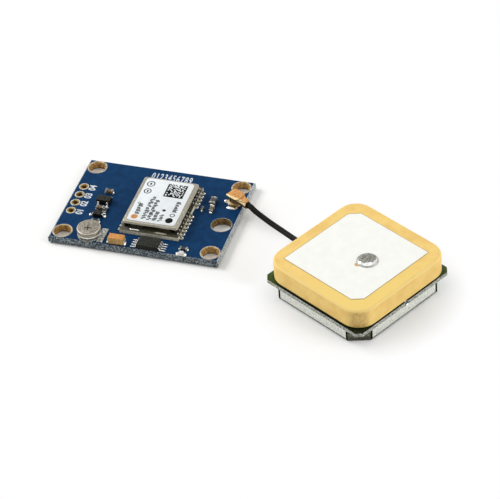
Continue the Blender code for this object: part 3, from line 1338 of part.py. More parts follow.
def make_antenna():
    """The whole patch antenna, from the can up."""
    parent = frame("antenna_frame", (ANTENNA_X, ANTENNA_Y, 0.0), ANTENNA_TURN)
    make_antenna_shield(parent)
    board_top = make_antenna_board(parent)
    level = board_top + SEAT
    tape = rounded_rectangle(ANTENNA_TAPE_SIDE, ANTENNA_TAPE_SIDE, CERAMIC_CORNER, CORNER_STEPS)
    mesh = flat_mesh("antenna_tape", [tape, feed_hole()], ANTENNA_TAPE_THICKNESS, level)
    piece("antenna_tape", mesh, "black tape", parent)
    level += ANTENNA_TAPE_THICKNESS + SEAT
    centre = (CERAMIC_SHIFT, CERAMIC_SHIFT)
    ground = rounded_rectangle(GROUND_SIDE, GROUND_SIDE, CERAMIC_CORNER, CORNER_STEPS, centre)
    ground_hole = feed_hole(FEED_PIN_RADIUS)
    mesh = flat_mesh("antenna_ground_layer", [ground, ground_hole], LAYER_THICKNESS, level)
    piece("antenna_ground_layer", mesh, "silver paint", parent)
    level += LAYER_THICKNESS + SEAT
    ceramic_top = make_ceramic(parent, level)
    level = ceramic_top + SEAT
    mesh = flat_mesh("antenna_patch", [patch_outline(), feed_hole()], LAYER_THICKNESS, level)
    piece("antenna_patch", mesh, "silver paint", parent)
    make_feed(parent, level + LAYER_THICKNESS)
    make_antenna_inside(parent)


def smooth_round_pieces():
    """Shade the turned pieces smooth."""
    for item in collection(PARTS).objects:
        if item.type == "MESH" and item.modifiers.get("turned"):
            item.modifiers["turned"].use_smooth_shade = True


def main():
    clear_scene()
    make_circuit_board()
    make_platings()
    make_module()
    make_cell()
    make_cell_tabs()
    make_tantalum()
    column = left_column()
    make_packages(column)
    make_chips(column)
    make_led()
    make_socket()
    make_plug()
    make_cable()
    make_antenna()
    smooth_round_pieces()


main()
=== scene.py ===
# %% [markdown]
# A positioning receiver and its patch antenna, dressed for a photograph.
# The construction arrives as a imported model: a blue circuit board with a shielded receiver module on it,
# and a square ceramic antenna on a short black lead. Those solids fix every size and place. This script
# adds what the eye sees: rounded edges, solder, print, and the finish of each surface.
# Everything is in metres, with the origin under the middle of the board, so sizes are written in
# millimetres and multiplied by one constant.

# %% Load the model and read the boxes of its parts
import math
import random

import bmesh
import bpy
from mathutils import Matrix, Vector


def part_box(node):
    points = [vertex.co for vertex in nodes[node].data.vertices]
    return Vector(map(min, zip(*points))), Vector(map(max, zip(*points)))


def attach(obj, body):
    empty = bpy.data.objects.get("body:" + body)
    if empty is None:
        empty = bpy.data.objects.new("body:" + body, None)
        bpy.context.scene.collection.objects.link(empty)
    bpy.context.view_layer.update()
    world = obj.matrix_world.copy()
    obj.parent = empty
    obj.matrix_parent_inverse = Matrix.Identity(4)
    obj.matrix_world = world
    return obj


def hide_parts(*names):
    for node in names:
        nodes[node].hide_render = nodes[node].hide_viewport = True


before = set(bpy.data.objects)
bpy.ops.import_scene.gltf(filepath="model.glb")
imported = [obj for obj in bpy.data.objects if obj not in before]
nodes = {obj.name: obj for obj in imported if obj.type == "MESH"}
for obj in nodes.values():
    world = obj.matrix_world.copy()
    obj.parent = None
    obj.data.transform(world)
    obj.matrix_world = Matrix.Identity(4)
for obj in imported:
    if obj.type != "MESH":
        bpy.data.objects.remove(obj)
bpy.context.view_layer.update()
MM = 0.001

# %% [markdown]
# The camera comes first, because every later choice is judged through it. The photograph is a product
# picture taken from well back with a long lens: the object's edges hardly converge. A long lens far away
# gives that, and a slight roll leans the board as in the picture.

# %% Camera
CAMERA_PLACE = Vector((149.974, -353.422, 312.804)) * MM
CAMERA_TILT, CAMERA_ROLL, CAMERA_HEADING = 49.729, 3.691, 17.112
CAMERA_LENS, CAMERA_SENSOR = 180.046, 36.0
CAMERA_NEAR, CAMERA_FAR = 0.05, 5.0

bpy.ops.object.camera_add(location=CAMERA_PLACE)
camera = bpy.context.object
camera.name = "camera"
camera.rotation_euler = [math.radians(a) for a in (CAMERA_TILT, CAMERA_ROLL, CAMERA_HEADING)]
camera.data.lens = CAMERA_LENS
camera.data.sensor_width = CAMERA_SENSOR
camera.data.clip_start = CAMERA_NEAR
camera.data.clip_end = CAMERA_FAR
bpy.context.scene.camera = camera
print("lens", camera.data.lens, "mm, at", [round(x / MM) for x in CAMERA_PLACE])

# %% [markdown]
# Colours are picked from finished surfaces as sRGB hex values, the way a paint card gives them. Shaders
# work in linear light, so one function turns hex to linear. A second adds a shader node with its settings
# and links in one call, because a material is easier to read as a list of nodes than as a web of lines.

# %% Colour and node helpers
def linear(code):
    """An sRGB hex colour as linear red, green, blue and alpha."""
    parts = [int(code[i:i + 2], 16) / 255 for i in (1, 3, 5)]
    return [p / 12.92 if p <= 0.04045 else ((p + 0.055) / 1.055) ** 2.4 for p in parts] + [1.0]


def add_node(tree, kind, inputs=None, stops=(), **settings):
    """Adds a node. Inputs maps a socket to a value or to the output that feeds it; stops fill a ramp."""
    node = tree.nodes.new("ShaderNode" + kind)
    for name, value in settings.items():
        setattr(node, name, value)
    for socket, value in (inputs or {}).items():
        if isinstance(value, bpy.types.NodeSocket):
            tree.links.new(value, node.inputs[socket])
        else:
            node.inputs[socket].default_value = value
    for index, (position, code) in enumerate(stops):
        ramp = node.color_ramp.elements
        stop = ramp[index] if index < 2 else ramp.new(position)
        stop.position = position
        stop.color = linear(code)
    return node


def per(length):
    """A texture scale that gives features of this many millimetres."""
    return 1.0 / (length * MM)


print("mid grey is", round(linear("#808080")[0], 3), "in linear light")

# %% [markdown]
# Most real surfaces need the same three things: a colour that drifts a little from place to place, a gloss
# that isn't quite even, and a grain that catches the light. One function lays these down from sizes in
# millimetres. Others lay more shades over part of a finish: upright faces have their own, because a sawn
# board edge is bare glass fibre whatever the colour of its varnish, and so may a band between two heights.

# %% Finish helpers
CLOUD_DETAIL, GRAIN_DETAIL = 4.0, 3.0
RAMP_START, RAMP_SPAN = 0.36, 0.28
NOISE_LOW, NOISE_HIGH = 0.3, 0.7
UPRIGHT_LIMIT = 0.6
BAND_SOFT, SLOPE_SOFT = 0.06, 0.2


def drift(tree, shades, patch):
    """A colour that drifts through some shades, in patches of this many millimetres."""
    place = add_node(tree, "TexCoord").outputs["Object"]
    clouds = add_node(tree, "TexNoise", {"Vector": place, "Scale": per(patch), "Detail": CLOUD_DETAIL})
    share = RAMP_SPAN / max(1, len(shades) - 1)
    stops = [(RAMP_START + share * i, shade) for i, shade in enumerate(shades)]
    return add_node(tree, "ValToRGB", {"Fac": clouds.outputs[0]}, stops).outputs["Color"]


def finish(name, shades, patch, roughness, grain=0.1, depth=0.0, **fixed):
    """A finish: shades drift in patches, roughness varies between two values, grain raises a depth."""
    material = bpy.data.materials.new(name)
    material.use_nodes = True
    tree = material.node_tree
    shader = tree.nodes["Principled BSDF"]
    tree.links.new(drift(tree, shades, patch), shader.inputs["Base Color"])
    place = add_node(tree, "TexCoord").outputs["Object"]
    grains = add_node(tree, "TexNoise", {"Vector": place, "Scale": per(grain), "Detail": GRAIN_DETAIL})
    gloss = add_node(tree, "MapRange", {"Value": grains.outputs[0], "From Min": NOISE_LOW,
                                        "From Max": NOISE_HIGH, "To Min": roughness[0],
                                        "To Max": roughness[1]})
    tree.links.new(gloss.outputs["Result"], shader.inputs["Roughness"])
    if depth:
        bump = add_node(tree, "Bump", {"Height": grains.outputs[0], "Distance": depth * MM})
        tree.links.new(bump.outputs["Normal"], shader.inputs["Normal"])
    for socket, value in fixed.items():
        shader.inputs[socket.replace("_", " ")].default_value = value
    return material


def lay_over(material, mask, colour):
    """Lays a colour over a finish where the mask is one."""
    tree = material.node_tree
    base = tree.nodes["Principled BSDF"].inputs["Base Color"]
    under = base.links[0].from_socket
    mixed = add_node(tree, "Mix", {0: mask, 6: under, 7: colour}, data_type="RGBA")
    tree.links.new(mixed.outputs[2], base)


def upright(tree, limit=UPRIGHT_LIMIT):
    """One where a face stands upright, nought where it lies flat. A higher limit takes in more slope."""
    normal = add_node(tree, "NewGeometry").outputs["True Normal"]
    height = add_node(tree, "SeparateXYZ", {0: normal}).outputs["Z"]
    size = add_node(tree, "Math", {0: height}, operation="ABSOLUTE").outputs[0]
    return add_node(tree, "Math", {0: size, 1: limit}, operation="LESS_THAN").outputs[0]


def upright_shades(material, shades, patch, limit=UPRIGHT_LIMIT):
    """Gives the upright faces of a finish their own shades, in patches of this size."""
    tree = material.node_tree
    lay_over(material, upright(tree, limit), drift(tree, shades, patch))


def band_shades(material, low, high, shades, patch):
    """Gives a finish other shades between two heights, with a soft edge, in mm; here always painted shade.
    """
    tree = material.node_tree
    place = add_node(tree, "TexCoord").outputs["Object"]
    height = add_node(tree, "SeparateXYZ", {0: place}).outputs["Z"]
    rising = add_node(tree, "MapRange", {"Value": height, "From Min": (low - BAND_SOFT) * MM,
                                         "From Max": low * MM}).outputs[0]
    falling = add_node(tree, "MapRange", {"Value": height, "From Min": (high + BAND_SOFT) * MM,
                                          "From Max": high * MM}).outputs[0]
    on_band = add_node(tree, "Math", {0: rising, 1: falling}, operation="MULTIPLY").outputs[0]
    lay_over(material, on_band, drift(tree, shades, patch))


def facing(tree, direction, start, end):
    """Rises from nought to one as a surface turns towards a fixed direction; start and end are cosines."""
    normal = add_node(tree, "NewGeometry").outputs["Normal"]
    turned = add_node(tree, "VectorMath", {0: normal, 1: direction},
                      operation="DOT_PRODUCT").outputs["Value"]
    return add_node(tree, "MapRange", {"Value": turned, "From Min": start, "From Max": end}).outputs[0]


def distance_along(tree, direction):
    """How far a point lies from the origin along a direction, in metres."""
    place = add_node(tree, "TexCoord").outputs["Object"]
    return add_node(tree, "VectorMath", {0: place, 1: direction}, operation="DOT_PRODUCT").outputs["Value"]


def slope_colour(material, flat, steep, code):
    """Gives rounded edges of a finish a colour where the normal leans between two values: a painted
    highlight.
    """
    tree = material.node_tree
    normal = add_node(tree, "NewGeometry").outputs["Normal"]
    height = add_node(tree, "SeparateXYZ", {0: normal}).outputs["Z"]
    above = add_node(tree, "MapRange", {"Value": height, "From Min": steep,
                                        "From Max": steep + SLOPE_SOFT}).outputs[0]
    below = add_node(tree, "MapRange", {"Value": height, "From Min": flat,
                                        "From Max": flat - SLOPE_SOFT}).outputs[0]
    on_edge = add_node(tree, "Math", {0: above, 1: below}, operation="MULTIPLY").outputs[0]
    lay_over(material, on_edge, linear(code))


# %% [markdown]
# The lead comes next. It is a thin coaxial cable with a black jacket, as short as the photograph shows it:
# about 31 mm from its joint inside the antenna to the plug on the board. It is stiff for its thickness, so
# it leaves the can level, sinks towards the table, and rises again to the plug in one easy curve. A curve
# object with a round bevel is the natural way to make it, along the same points that the solid follows.

# %% The jacket's finish
# Soft black plastic, extruded: nearly matt, with a long soft highlight and a brown cast.
CABLE_DIAMETER = 1.13
jacket_black = finish("extruded_black_jacket", ["#090906", "#15140D"], 0.8, (0.45, 0.6), 0.12, 0.006,
                      Specular_IOR_Level=0.12)

# %% The lead's route
ANTENNA = Matrix.Translation((45.15 * MM, -11.95 * MM, 0.0)) @ Matrix.Rotation(math.radians(-28.5), 4, "Z")
PLUG = Matrix.Translation((15.5 * MM, 5.42 * MM, 1.6 * MM)) @ Matrix.Rotation(math.radians(-27.5), 4, "Z")
LEAD_IN_ANTENNA = [(-1.6, 0.5, 2.2), (-6.05, 0.5, 2.2), (-12.1, 0.5, 2.2), (-13.3, 0.5, 2.2)]
LEAD_BETWEEN = [(31.90, -3.75, 1.70), (29.70, -2.05, 1.15), (26.55, -0.15, 1.20),
                (24.10, 1.10, 1.50), (21.70, 2.25, 2.05), (20.35, 2.85, 2.50)]
LEAD_IN_PLUG = [(4.45, 0.0, 1.26), (3.5, 0.0, 1.32), (2.25, 0.0, 1.32)]
ROUTE_STEPS = 10

route = [ANTENNA @ (Vector(p) * MM) for p in LEAD_IN_ANTENNA]
route += [Vector(p) * MM for p in LEAD_BETWEEN]
route += [PLUG @ (Vector(p) * MM) for p in LEAD_IN_PLUG]
ends = [route[0] * 2 - route[1]] + route + [route[-1] * 2 - route[-2]]
line = []
for a, b, c, d in zip(ends, ends[1:], ends[2:], ends[3:]):
    for step in range(ROUTE_STEPS):
        t = step / ROUTE_STEPS
        line.append(0.5 * (2 * b + (c - a) * t + (2 * a - 5 * b + 4 * c - d) * t * t
                           + (3 * b - a - 3 * c + d) * t ** 3))
line.append(route[-1])

# %% The lead
lead_curve = bpy.data.curves.new("black_lead", "CURVE")
lead_curve.dimensions = "3D"
lead_curve.bevel_depth = CABLE_DIAMETER / 2 * MM
lead_curve.bevel_resolution = 6
lead_curve.use_fill_caps = True
spline = lead_curve.splines.new("POLY")
spline.points.add(len(line) - 1)
for point, place in zip(spline.points, line):
    point.co = (*place, 1.0)
spline.use_smooth = True
lead = bpy.data.objects.new("black_lead", lead_curve)
bpy.context.scene.collection.objects.link(lead)
lead_curve.materials.append(jacket_black)
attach(lead, "root")
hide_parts("antenna_cable")

# %% [markdown]
# New pieces are modelled with the same operators as by hand: add a primitive, open it for editing, select
# what to work on, and shape it. An operator acts on everything selected, and the loaded solids are all
# selected at first, so everything is deselected before each piece. Faces and edges are then picked in
# code, by where they are or which way they face.

# %% Modelling helpers
def deselect():
    """Leaves edit mode and selects nothing."""
    if bpy.context.object and bpy.context.object.mode != "OBJECT":
        bpy.ops.object.mode_set(mode="OBJECT")
    bpy.ops.object.select_all(action="DESELECT")


def make_active(piece):
    """Selects one piece alone."""
    deselect()
    piece.select_set(True)
    bpy.context.view_layer.objects.active = piece


def primitive(kind, name, **settings):
    """Adds one of the mesh primitives under a name of its own."""
    deselect()
    getattr(bpy.ops.mesh, "primitive_" + kind + "_add")(**settings)
    piece = bpy.context.object
    piece.name = piece.data.name = name
    return piece


def block(name, low, high):
    """A box between two corners, given in millimetres."""
    low, high = Vector(low), Vector(high)
    piece = primitive("cube", name, size=1.0, location=(low + high) / 2 * MM, scale=(high - low) * MM)
    bpy.ops.object.transform_apply(location=True, rotation=True, scale=True)
    return piece


def choose(piece, kind, test):
    """Opens a piece for editing with the VERT, EDGE or FACE elements selected that pass a test."""
    make_active(piece)
    bpy.ops.object.mode_set(mode="EDIT")
    bpy.context.tool_settings.mesh_select_mode = [kind == k for k in ("VERT", "EDGE", "FACE")]
    bpy.ops.mesh.select_all(action="DESELECT")
    shape = bmesh.from_edit_mesh(piece.data)
    elements = {"VERT": shape.verts, "EDGE": shape.edges, "FACE": shape.faces}[kind]
    for element in elements:
        if test(element):
            element.select_set(True)
    shape.select_flush_mode()
    bmesh.update_edit_mesh(piece.data)


def is_upright_edge(edge):
    """An edge that runs up and down."""
    a, b = (corner.co for corner in edge.verts)
    return abs(a.z - b.z) > 0.9 * (a - b).length


def edge_height(edge):
    """The height of the middle of an edge, in millimetres."""
    return (edge.verts[0].co.z + edge.verts[1].co.z) / 2 / MM


def round_over(piece, radius, segments, test):
    """Rounds the edges that pass a test."""
    choose(piece, "EDGE", test)
    bpy.ops.mesh.bevel(offset=radius * MM, segments=segments, profile=0.5, affect="EDGES")
    deselect()


def settle(piece, finishes, stands_for=(), place=None, smooth=35.0):
    """Puts a piece in its place for good and gives it its finishes and its body."""
    make_active(piece)
    if place is not None:
        piece.matrix_world = place @ piece.matrix_world
    bpy.ops.object.transform_apply(location=True, rotation=True, scale=True)
    if smooth:
        bpy.ops.object.shade_smooth_by_angle(angle=math.radians(smooth))
    kept = [polygon.material_index for polygon in piece.data.polygons]
    piece.data.materials.clear()
    for material in finishes:
        piece.data.materials.append(material)
    piece.data.polygons.foreach_set("material_index", [min(i, len(finishes) - 1) for i in kept])
    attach(piece, "root")
    if stands_for:
        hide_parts(*stands_for)
    print(piece.name, len(piece.data.polygons), "faces")


# %% [markdown]
# Many of the solids already have the right shape and only want the softness of a real part: a moulded
# package, a stamped tab or a plated shell has no edge sharper than a few hundredths of a millimetre, and
# that small round is what catches the light. The solid's mesh is loose triangles, so a copy is merged, its
# flat areas are dissolved to single faces, and a Bevel modifier rounds what is still sharp. Hardened
# normals keep the flat faces flat to the eye.

# %% Rounded copies of solids
MERGE_GAP = 0.001
FLAT_ANGLE, SHARP_ANGLE = 0.8, 33.0


def rounded_copy(node, edge, segments=2):
    """A merged copy of a solid with its sharp edges rounded by a radius in millimetres."""
    piece = bpy.data.objects.new(node + "_finished", nodes[node].data.copy())
    bpy.context.scene.collection.objects.link(piece)
    choose(piece, "FACE", lambda face: True)
    bpy.ops.mesh.remove_doubles(threshold=MERGE_GAP * MM)
    bpy.ops.mesh.dissolve_limited(angle_limit=math.radians(FLAT_ANGLE))
    make_active(piece)
    bpy.ops.object.shade_smooth()
    if edge:
        bevel = piece.modifiers.new("soft edge", "BEVEL")
        bevel.width = edge * MM
        bevel.segments = segments
        bevel.limit_method = "ANGLE"
        bevel.angle_limit = math.radians(SHARP_ANGLE)
        bevel.harden_normals = True
        bpy.ops.object.modifier_apply(modifier=bevel.name)
    return piece


def cut_across(piece, axis, places):
    """Cuts the faces of a piece by planes across an axis (0, 1 or 2), so that a finish can end there."""
    normal = [0.0, 0.0, 0.0]
    normal[axis] = 1.0
    for place in places:
        choose(piece, "FACE", lambda face: True)
        bpy.ops.mesh.bisect(plane_co=[place * MM * n for n in normal], plane_no=normal)
        deselect()


def mark_faces(piece, test):
    """Numbers each face's finish. The test gets the face's middle in mm and gives the finish's number."""
    for polygon in piece.data.polygons:
        polygon.material_index = int(test(polygon.center / MM))


def dress(node, material, edge):
    """Replaces a solid by its rounded copy in one finish."""
    settle(rounded_copy(node, edge), [material], (node,), smooth=None)


def middle(node):
    """The middle of a solid, in millimetres."""
    low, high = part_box(node)
    return (low + high) / 2 / MM


# %% [markdown]
# The board is glass fibre in epoxy with a dark blue varnish, the solder mask. The varnish is thin and
# glossy and shows the weave and the copper below as a very slight mottling. The board was scored and
# snapped from a larger sheet, so its edges and the score's slopes are bare: rough grey fibre, with the
# broken glass bundles as dots. A painted shade darkens the edges at their foot, and the side facing +x is
# painted paler as painted light. The solid has the slopes and all the holes, so it only needs a finish.

# %% Solder mask and fibre edge
MASK_SHADES = ["#0A3156", "#0D355C", "#103A63"]
FIBRE_SHADES = ["#3C464D", "#687178", "#9FA6A8"]
FOOT_SHADES = ["#1B242B", "#2F3A42", "#46525A"]
FIBRE_BUNDLE = 0.45
BUNDLE_EDGE = (0.28, 0.42)
SCORE_LIMIT = 0.9
FIBRE_FOOT = (0.07, 0.3)
PALE_SHADES = ["#7F898F", "#A9AFB1", "#CDD0D0"]
PALE_EDGE = ((1.0, 0.0, 0.0), 0.5, 0.6)

mask_blue = finish("blue_solder_mask", MASK_SHADES, 1.6, (0.3, 0.42), 0.35, 0.002,
                   Specular_IOR_Level=0.05)
upright_shades(mask_blue, FIBRE_SHADES, 0.3, SCORE_LIMIT)
tree = mask_blue.node_tree
place = add_node(tree, "TexCoord").outputs["Object"]
bundles = add_node(tree, "TexVoronoi", {"Vector": place, "Scale": per(FIBRE_BUNDLE)})
dots = add_node(tree, "MapRange", {"Value": bundles.outputs["Distance"], "From Min": BUNDLE_EDGE[1],
                                   "From Max": BUNDLE_EDGE[0]}).outputs[0]
on_edge = add_node(tree, "Math", {0: dots, 1: upright(tree, SCORE_LIMIT)}, operation="MULTIPLY").outputs[0]
lay_over(mask_blue, on_edge, linear("#2C363E"))
# Painted shade along the foot of the edges, then painted light on the faces that turn towards +x.
band_shades(mask_blue, *FIBRE_FOOT, FOOT_SHADES, 0.3)
lay_over(mask_blue, facing(tree, *PALE_EDGE), drift(tree, PALE_SHADES, 0.4))
board = nodes["circuit_board"]
board.data.materials.clear()
board.data.materials.append(mask_blue)

# %% [markdown]
# Each hole has a plated barrel and a tinned ring. On the ring the solder is a thin cream-white line; at the
# mouth and in the barrel the eye meets golden brown, plating seen at a steep angle with the flux that stayed
# on it. A turned shape is quickest from its profile: the section's corners are extruded one after another
# and spun round the hole's middle, then the faces are given their finish by how far out they lie.

# %% Plated holes
RING_TURNS, RING_CROWN, BARREL_WALL = 48, 0.03, 0.05
# How thick the ring is, how far in its crown starts, how deep the mouth reaches, how high the lower ring
# reaches, and how far from either end the back of the plating starts.
RING_THICKNESS, RING_EDGE, MOUTH_DEPTH, FOOT_RING, PLATING_BACK = 0.05, 0.02, 0.12, 0.1, 0.06
tinned_ring = finish("tinned_ring", ["#98948A", "#B6B1A2", "#CECABC"], 0.4, (0.35, 0.5), 0.15, 0.004,
                     Metallic=0.5)
hole_brown = finish("fluxed_hole_plating", ["#745428", "#AE8848", "#DAB67A"], 0.3, (0.4, 0.6), 0.2, 0.01,
                    Metallic=0.2)
cable_brown = finish("stained_hole_plating", ["#3E2E16", "#6C5328", "#A07E44"], 0.3, (0.4, 0.6), 0.2, 0.01,
                     Metallic=0.2)
# A painted shade darkens the feet of the barrels, where they meet the table.
HOLE_FOOT_SHADE = (0.0, 0.22)
for stained in (hole_brown, cable_brown):
    band_shades(stained, *HOLE_FOOT_SHADE, ["#120E08", "#2A2014"], 0.3)
pad_ring = finish("tinned_pad_ring", ["#AEA489", "#C8BFA6", "#DBD5C2"], 0.4, (0.35, 0.5), 0.12, 0.004,
                  Metallic=0.4)
pad_brown = finish("fluxed_pad_mouth", ["#3A2E14", "#6E5626", "#B8924E"], 0.25, (0.4, 0.6), 0.15, 0.01,
                   Metallic=0.2)


def spun(name, profile, turns, centre):
    """A turned shape: its profile, as radius and height in millimetres, spun round an upright line."""
    piece = primitive("plane", name, size=MM)
    choose(piece, "VERT", lambda corner: True)
    bpy.ops.mesh.delete(type="VERT")
    shape = bmesh.from_edit_mesh(piece.data)
    corners = [shape.verts.new((r * MM, 0.0, z * MM)) for r, z in profile]
    for a, b in zip(corners, corners[1:]):
        shape.edges.new((a, b))
    bmesh.update_edit_mesh(piece.data)
    bpy.ops.mesh.select_all(action="SELECT")
    bpy.ops.mesh.spin(steps=turns, angle=math.tau, center=(0, 0, 0), axis=(0, 0, 1))
    bpy.ops.mesh.select_all(action="SELECT")
    bpy.ops.mesh.remove_doubles(threshold=MERGE_GAP * MM)
    bpy.ops.mesh.normals_make_consistent(inside=False)
    deselect()
    piece.data.transform(Matrix.Translation(Vector(centre) * MM))
    return piece


def plated_hole(node, mouth_share, ring_finish, wall_finish):
    """A hole's barrel and ring: the given share of the ring's width, inside, belongs to the mouth."""
    low, high = (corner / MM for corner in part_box(node))
    centre = (low + high) / 2
    outer = (high.x - low.x) / 2
    hole = min(math.hypot(v.co.x / MM - centre.x, v.co.y / MM - centre.y) for v in nodes[node].data.vertices)
    mouth = hole + (outer - hole) * mouth_share
    top, foot = high.z, low.z
    back = hole + BARREL_WALL
    profile = [(outer, top - RING_THICKNESS), (outer - RING_EDGE, top - RING_CROWN / 2),
               ((outer + mouth) / 2, top), (mouth, top - RING_CROWN / 2),
               ((mouth + hole) / 2, top - RING_CROWN), (hole, top - MOUTH_DEPTH), (hole, foot + MOUTH_DEPTH),
               ((mouth + hole) / 2, foot + RING_CROWN), (outer, foot), (outer, foot + RING_THICKNESS),
               (back, foot + PLATING_BACK), (back, top - PLATING_BACK), (outer, top - RING_THICKNESS)]
    piece = spun(node + "_ring", profile, RING_TURNS, (centre.x, centre.y, 0.0))
    mark_faces(piece, lambda point: math.hypot(point.x - centre.x, point.y - centre.y) < mouth
               and point.z > foot + FOOT_RING)
    settle(piece, [ring_finish, wall_finish], (node,))


for node in sorted(nodes):
    if node.startswith("mounting_hole_plating"):
        plated_hole(node, 0.5, tinned_ring, hole_brown)
    if node == "cable_hole_plating":
        plated_hole(node, 0.5, tinned_ring, cable_brown)
    if node.startswith("header_hole_plating"):
        plated_hole(node, 0.55, pad_ring, pad_brown)

# %% [markdown]
# Solder is the brightest thing on the board. Melted and cooled, it is a smooth lump that mirrors its
# surroundings in small patches, so it shows as white spots with black gaps. A lump is modelled once, from a
# ball that is cut flat below and pushed out of true, and every joint gets its own stretched copy.

# %% Solder
bright_solder = finish("bright_solder", ["#DADBD6", "#F4F4F0"], 0.5, (0.12, 0.3), 0.25, 0.012, Metallic=1.0)
tin_plate = finish("tin_plated_steel", ["#B9BBB6", "#D2D3CE"], 1.2, (0.22, 0.42), 0.2, 0.006, Metallic=1.0)
LUMP_SEED, LUMP_PUSH = 4, 0.06
ON_BOARD = 1.61

lump = primitive("uv_sphere", "solder_lump", segments=14, ring_count=8, radius=1.0)
choose(lump, "FACE", lambda face: True)
bpy.ops.mesh.bisect(plane_co=(0, 0, 0), plane_no=(0, 0, 1), use_fill=True, clear_inner=True)
choose(lump, "VERT", lambda corner: corner.co.z > 0.1)
bpy.ops.transform.vertex_random(offset=LUMP_PUSH, seed=LUMP_SEED)
deselect()
lump.hide_render = lump.hide_viewport = True


def copies(name, model, places):
    """One piece made of a copy of a model at each place, a matrix in millimetres."""
    made = []
    for index, place in enumerate(places):
        copy = bpy.data.objects.new(name, model.data.copy())
        copy.data.transform(Matrix.Scale(MM, 4) @ place)
        bpy.context.scene.collection.objects.link(copy)
        made.append(copy)
    deselect()
    for copy in made:
        copy.select_set(True)
    bpy.context.view_layer.objects.active = made[0]
    if len(made) > 1:
        bpy.ops.object.join()
    return made[0]


def lump_at(x, y, z, length, width, height, turn=0.0):
    """The place of a solder lump: its foot's middle, its size along and across, and its height."""
    return (Matrix.Translation((x, y, z)) @ Matrix.Rotation(math.radians(turn), 4, "Z")
            @ Matrix.Diagonal((length / 2, width / 2, height, 1.0)))


def board_solder(name, lumps):
    """One piece of bright lumps on the board: each is an x, a y, a length, a width and a height."""
    places = [lump_at(x, y, ON_BOARD, *size) for x, y, *size in lumps]
    settle(copies(name, lump, places), [bright_solder])


# %% [markdown]
# The receiver module is a small board of its own, soldered down by half-round contacts along two edges,
# with a folded nickel-silver can on top. The base is brown laminate. Each contact has four small lumps of
# solder, from the small board down to its foot. Two shine, and two are painted dark as the shade between
# them, like beads in a row.

# %% Receiver module: base and solder
base_laminate = finish("module_laminate", ["#23231A", "#3B3A2A", "#56523E"], 0.35, (0.45, 0.6), 0.2, 0.004)
# The upright edges are bare laminate, painted paler still as painted light; the rounded rim gets a pale
# painted highlight.
upright_shades(base_laminate, ["#CFC8AE", "#E8E1C9", "#F6F0DC"], 0.4)
slope_colour(base_laminate, 0.97, 0.2, "#E6DFC6")
dress("module_base", base_laminate, 0.1)

MODULE_X, MODULE_Y = 2.05, -0.3
CONTACT_X, CONTACT_STEP = 6.1, 1.1
FRONT_CONTACTS, REAR_CONTACTS = 7, 5
FRONT_START, REAR_START = -7.3, 6.7
BASE_TOP = 2.42
rows = [FRONT_START + CONTACT_STEP * i for i in range(FRONT_CONTACTS)]
rows += [REAR_START - CONTACT_STEP * i for i in range(REAR_CONTACTS)]
# Each lump of a contact: how far out it sits, how high its foot is, and its length, width and height.
BRIGHT_LUMPS = [(-0.36, 0.0, 0.3, 0.36, 0.42), (0.5, -0.8, 0.52, 0.5, 0.34)]
# The dark lumps are painted shade between the bright ones.
SHADED_LUMPS = [(-0.08, -0.04, 0.36, 0.42, 0.3), (0.24, -0.5, 0.5, 0.46, 0.4)]
FAR_ROW_SHARE = 0.6
shaded_solder = finish("shaded_solder", ["#14120C", "#4A463A", "#B4B0A2"], 0.22, (0.3, 0.45), 0.2, 0.01,
                       Metallic=0.3)
for name, lumps, solder in [("module_contact_solder", BRIGHT_LUMPS, bright_solder),
                            ("module_contact_shade", SHADED_LUMPS, shaded_solder)]:
    places = []
    for side in (-1, 1):
        size = 1.0 if side > 0 else FAR_ROW_SHARE
        for y in rows:
            for out, foot, length, width, height in lumps:
                x = MODULE_X + side * (CONTACT_X + out * size)
                places.append(lump_at(x, y, BASE_TOP + foot, length * size, width * size, height * size))
    settle(copies(name, lump, places), [solder])

# %% Receiver module: solder under the can's front
# The can's wall is soldered to the ledge in two places. One shines in the shade under the lid, one is dull.
dull_solder = finish("dull_solder", ["#9A9480", "#C2BAA4"], 0.4, (0.4, 0.5), Metallic=0.2)
FRONT_STRIPS = [(-2.2, 0.2, 0.2, bright_solder), (3.0, 5.7, 0.18, dull_solder)]
LEDGE_Y, STRIP_WIDTH, STRIP_SINK = -7.72, 0.42, 0.02
for index, (start, end, height, material) in enumerate(FRONT_STRIPS):
    place = lump_at((start + end) / 2, LEDGE_Y, BASE_TOP - STRIP_SINK, end - start, STRIP_WIDTH, height)
    settle(copies("module_front_solder_" + str(index + 1), lump, [place]), [material])

# %% Receiver module: can and label
# The frame's walls are painted dark as the shade under the lid. The lid's sides are painted paler than its
# top as painted light, and its foot gets a bright painted highlight.
nickel = finish("nickel_silver_sheet", ["#928D7E", "#A6A192", "#B4B0A2"], 0.4, (0.35, 0.5), 0.14, 0.006,
                Metallic=0.7)
lid_side = finish("nickel_silver_side_painted_light", ["#A69F8B", "#BDB6A1", "#CBC5B2"], 0.4, (0.4, 0.55), 0.14, 0.006,
                  Metallic=0.15)
lid_foot = finish("nickel_silver_foot_painted_highlight", ["#F0E8D0", "#FBF6E6"], 0.4, (0.35, 0.45))
frame_wall = finish("frame_wall_painted_shade", ["#26231A", "#3A3629", "#524D3D"], 0.3, (0.4, 0.6), 0.14, 0.006,
                    Metallic=0.4)
dress("module_shield_frame", frame_wall, 0.02)
lid_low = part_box("module_shield")[0].z / MM
LID_FOOT, LID_SIDE = lid_low + 0.13, lid_low + 0.45
lid = rounded_copy("module_shield", 0.08)
cut_across(lid, 2, [LID_FOOT])
mark_faces(lid, lambda point: 2 if point.z < LID_FOOT else int(point.z < LID_SIDE))
settle(lid, [nickel, lid_side, lid_foot], ("module_shield",), smooth=None)
label_paper = finish("coated_label_paper", ["#E1E7E9", "#E9EDEF"], 2.0, (0.45, 0.6), 0.2, 0.002)
dress("module_label", label_paper, 0.01)

# %% [markdown]
# The label's print is thin ink: each mark is a flat shape a hundredth of a millimetre proud of the paper.
# What it says is left out. In its place are plain rings, dots, rows of short strokes about as long and as
# dense as the lines of small type, and a square field of random modules drawn by a seeded rule.

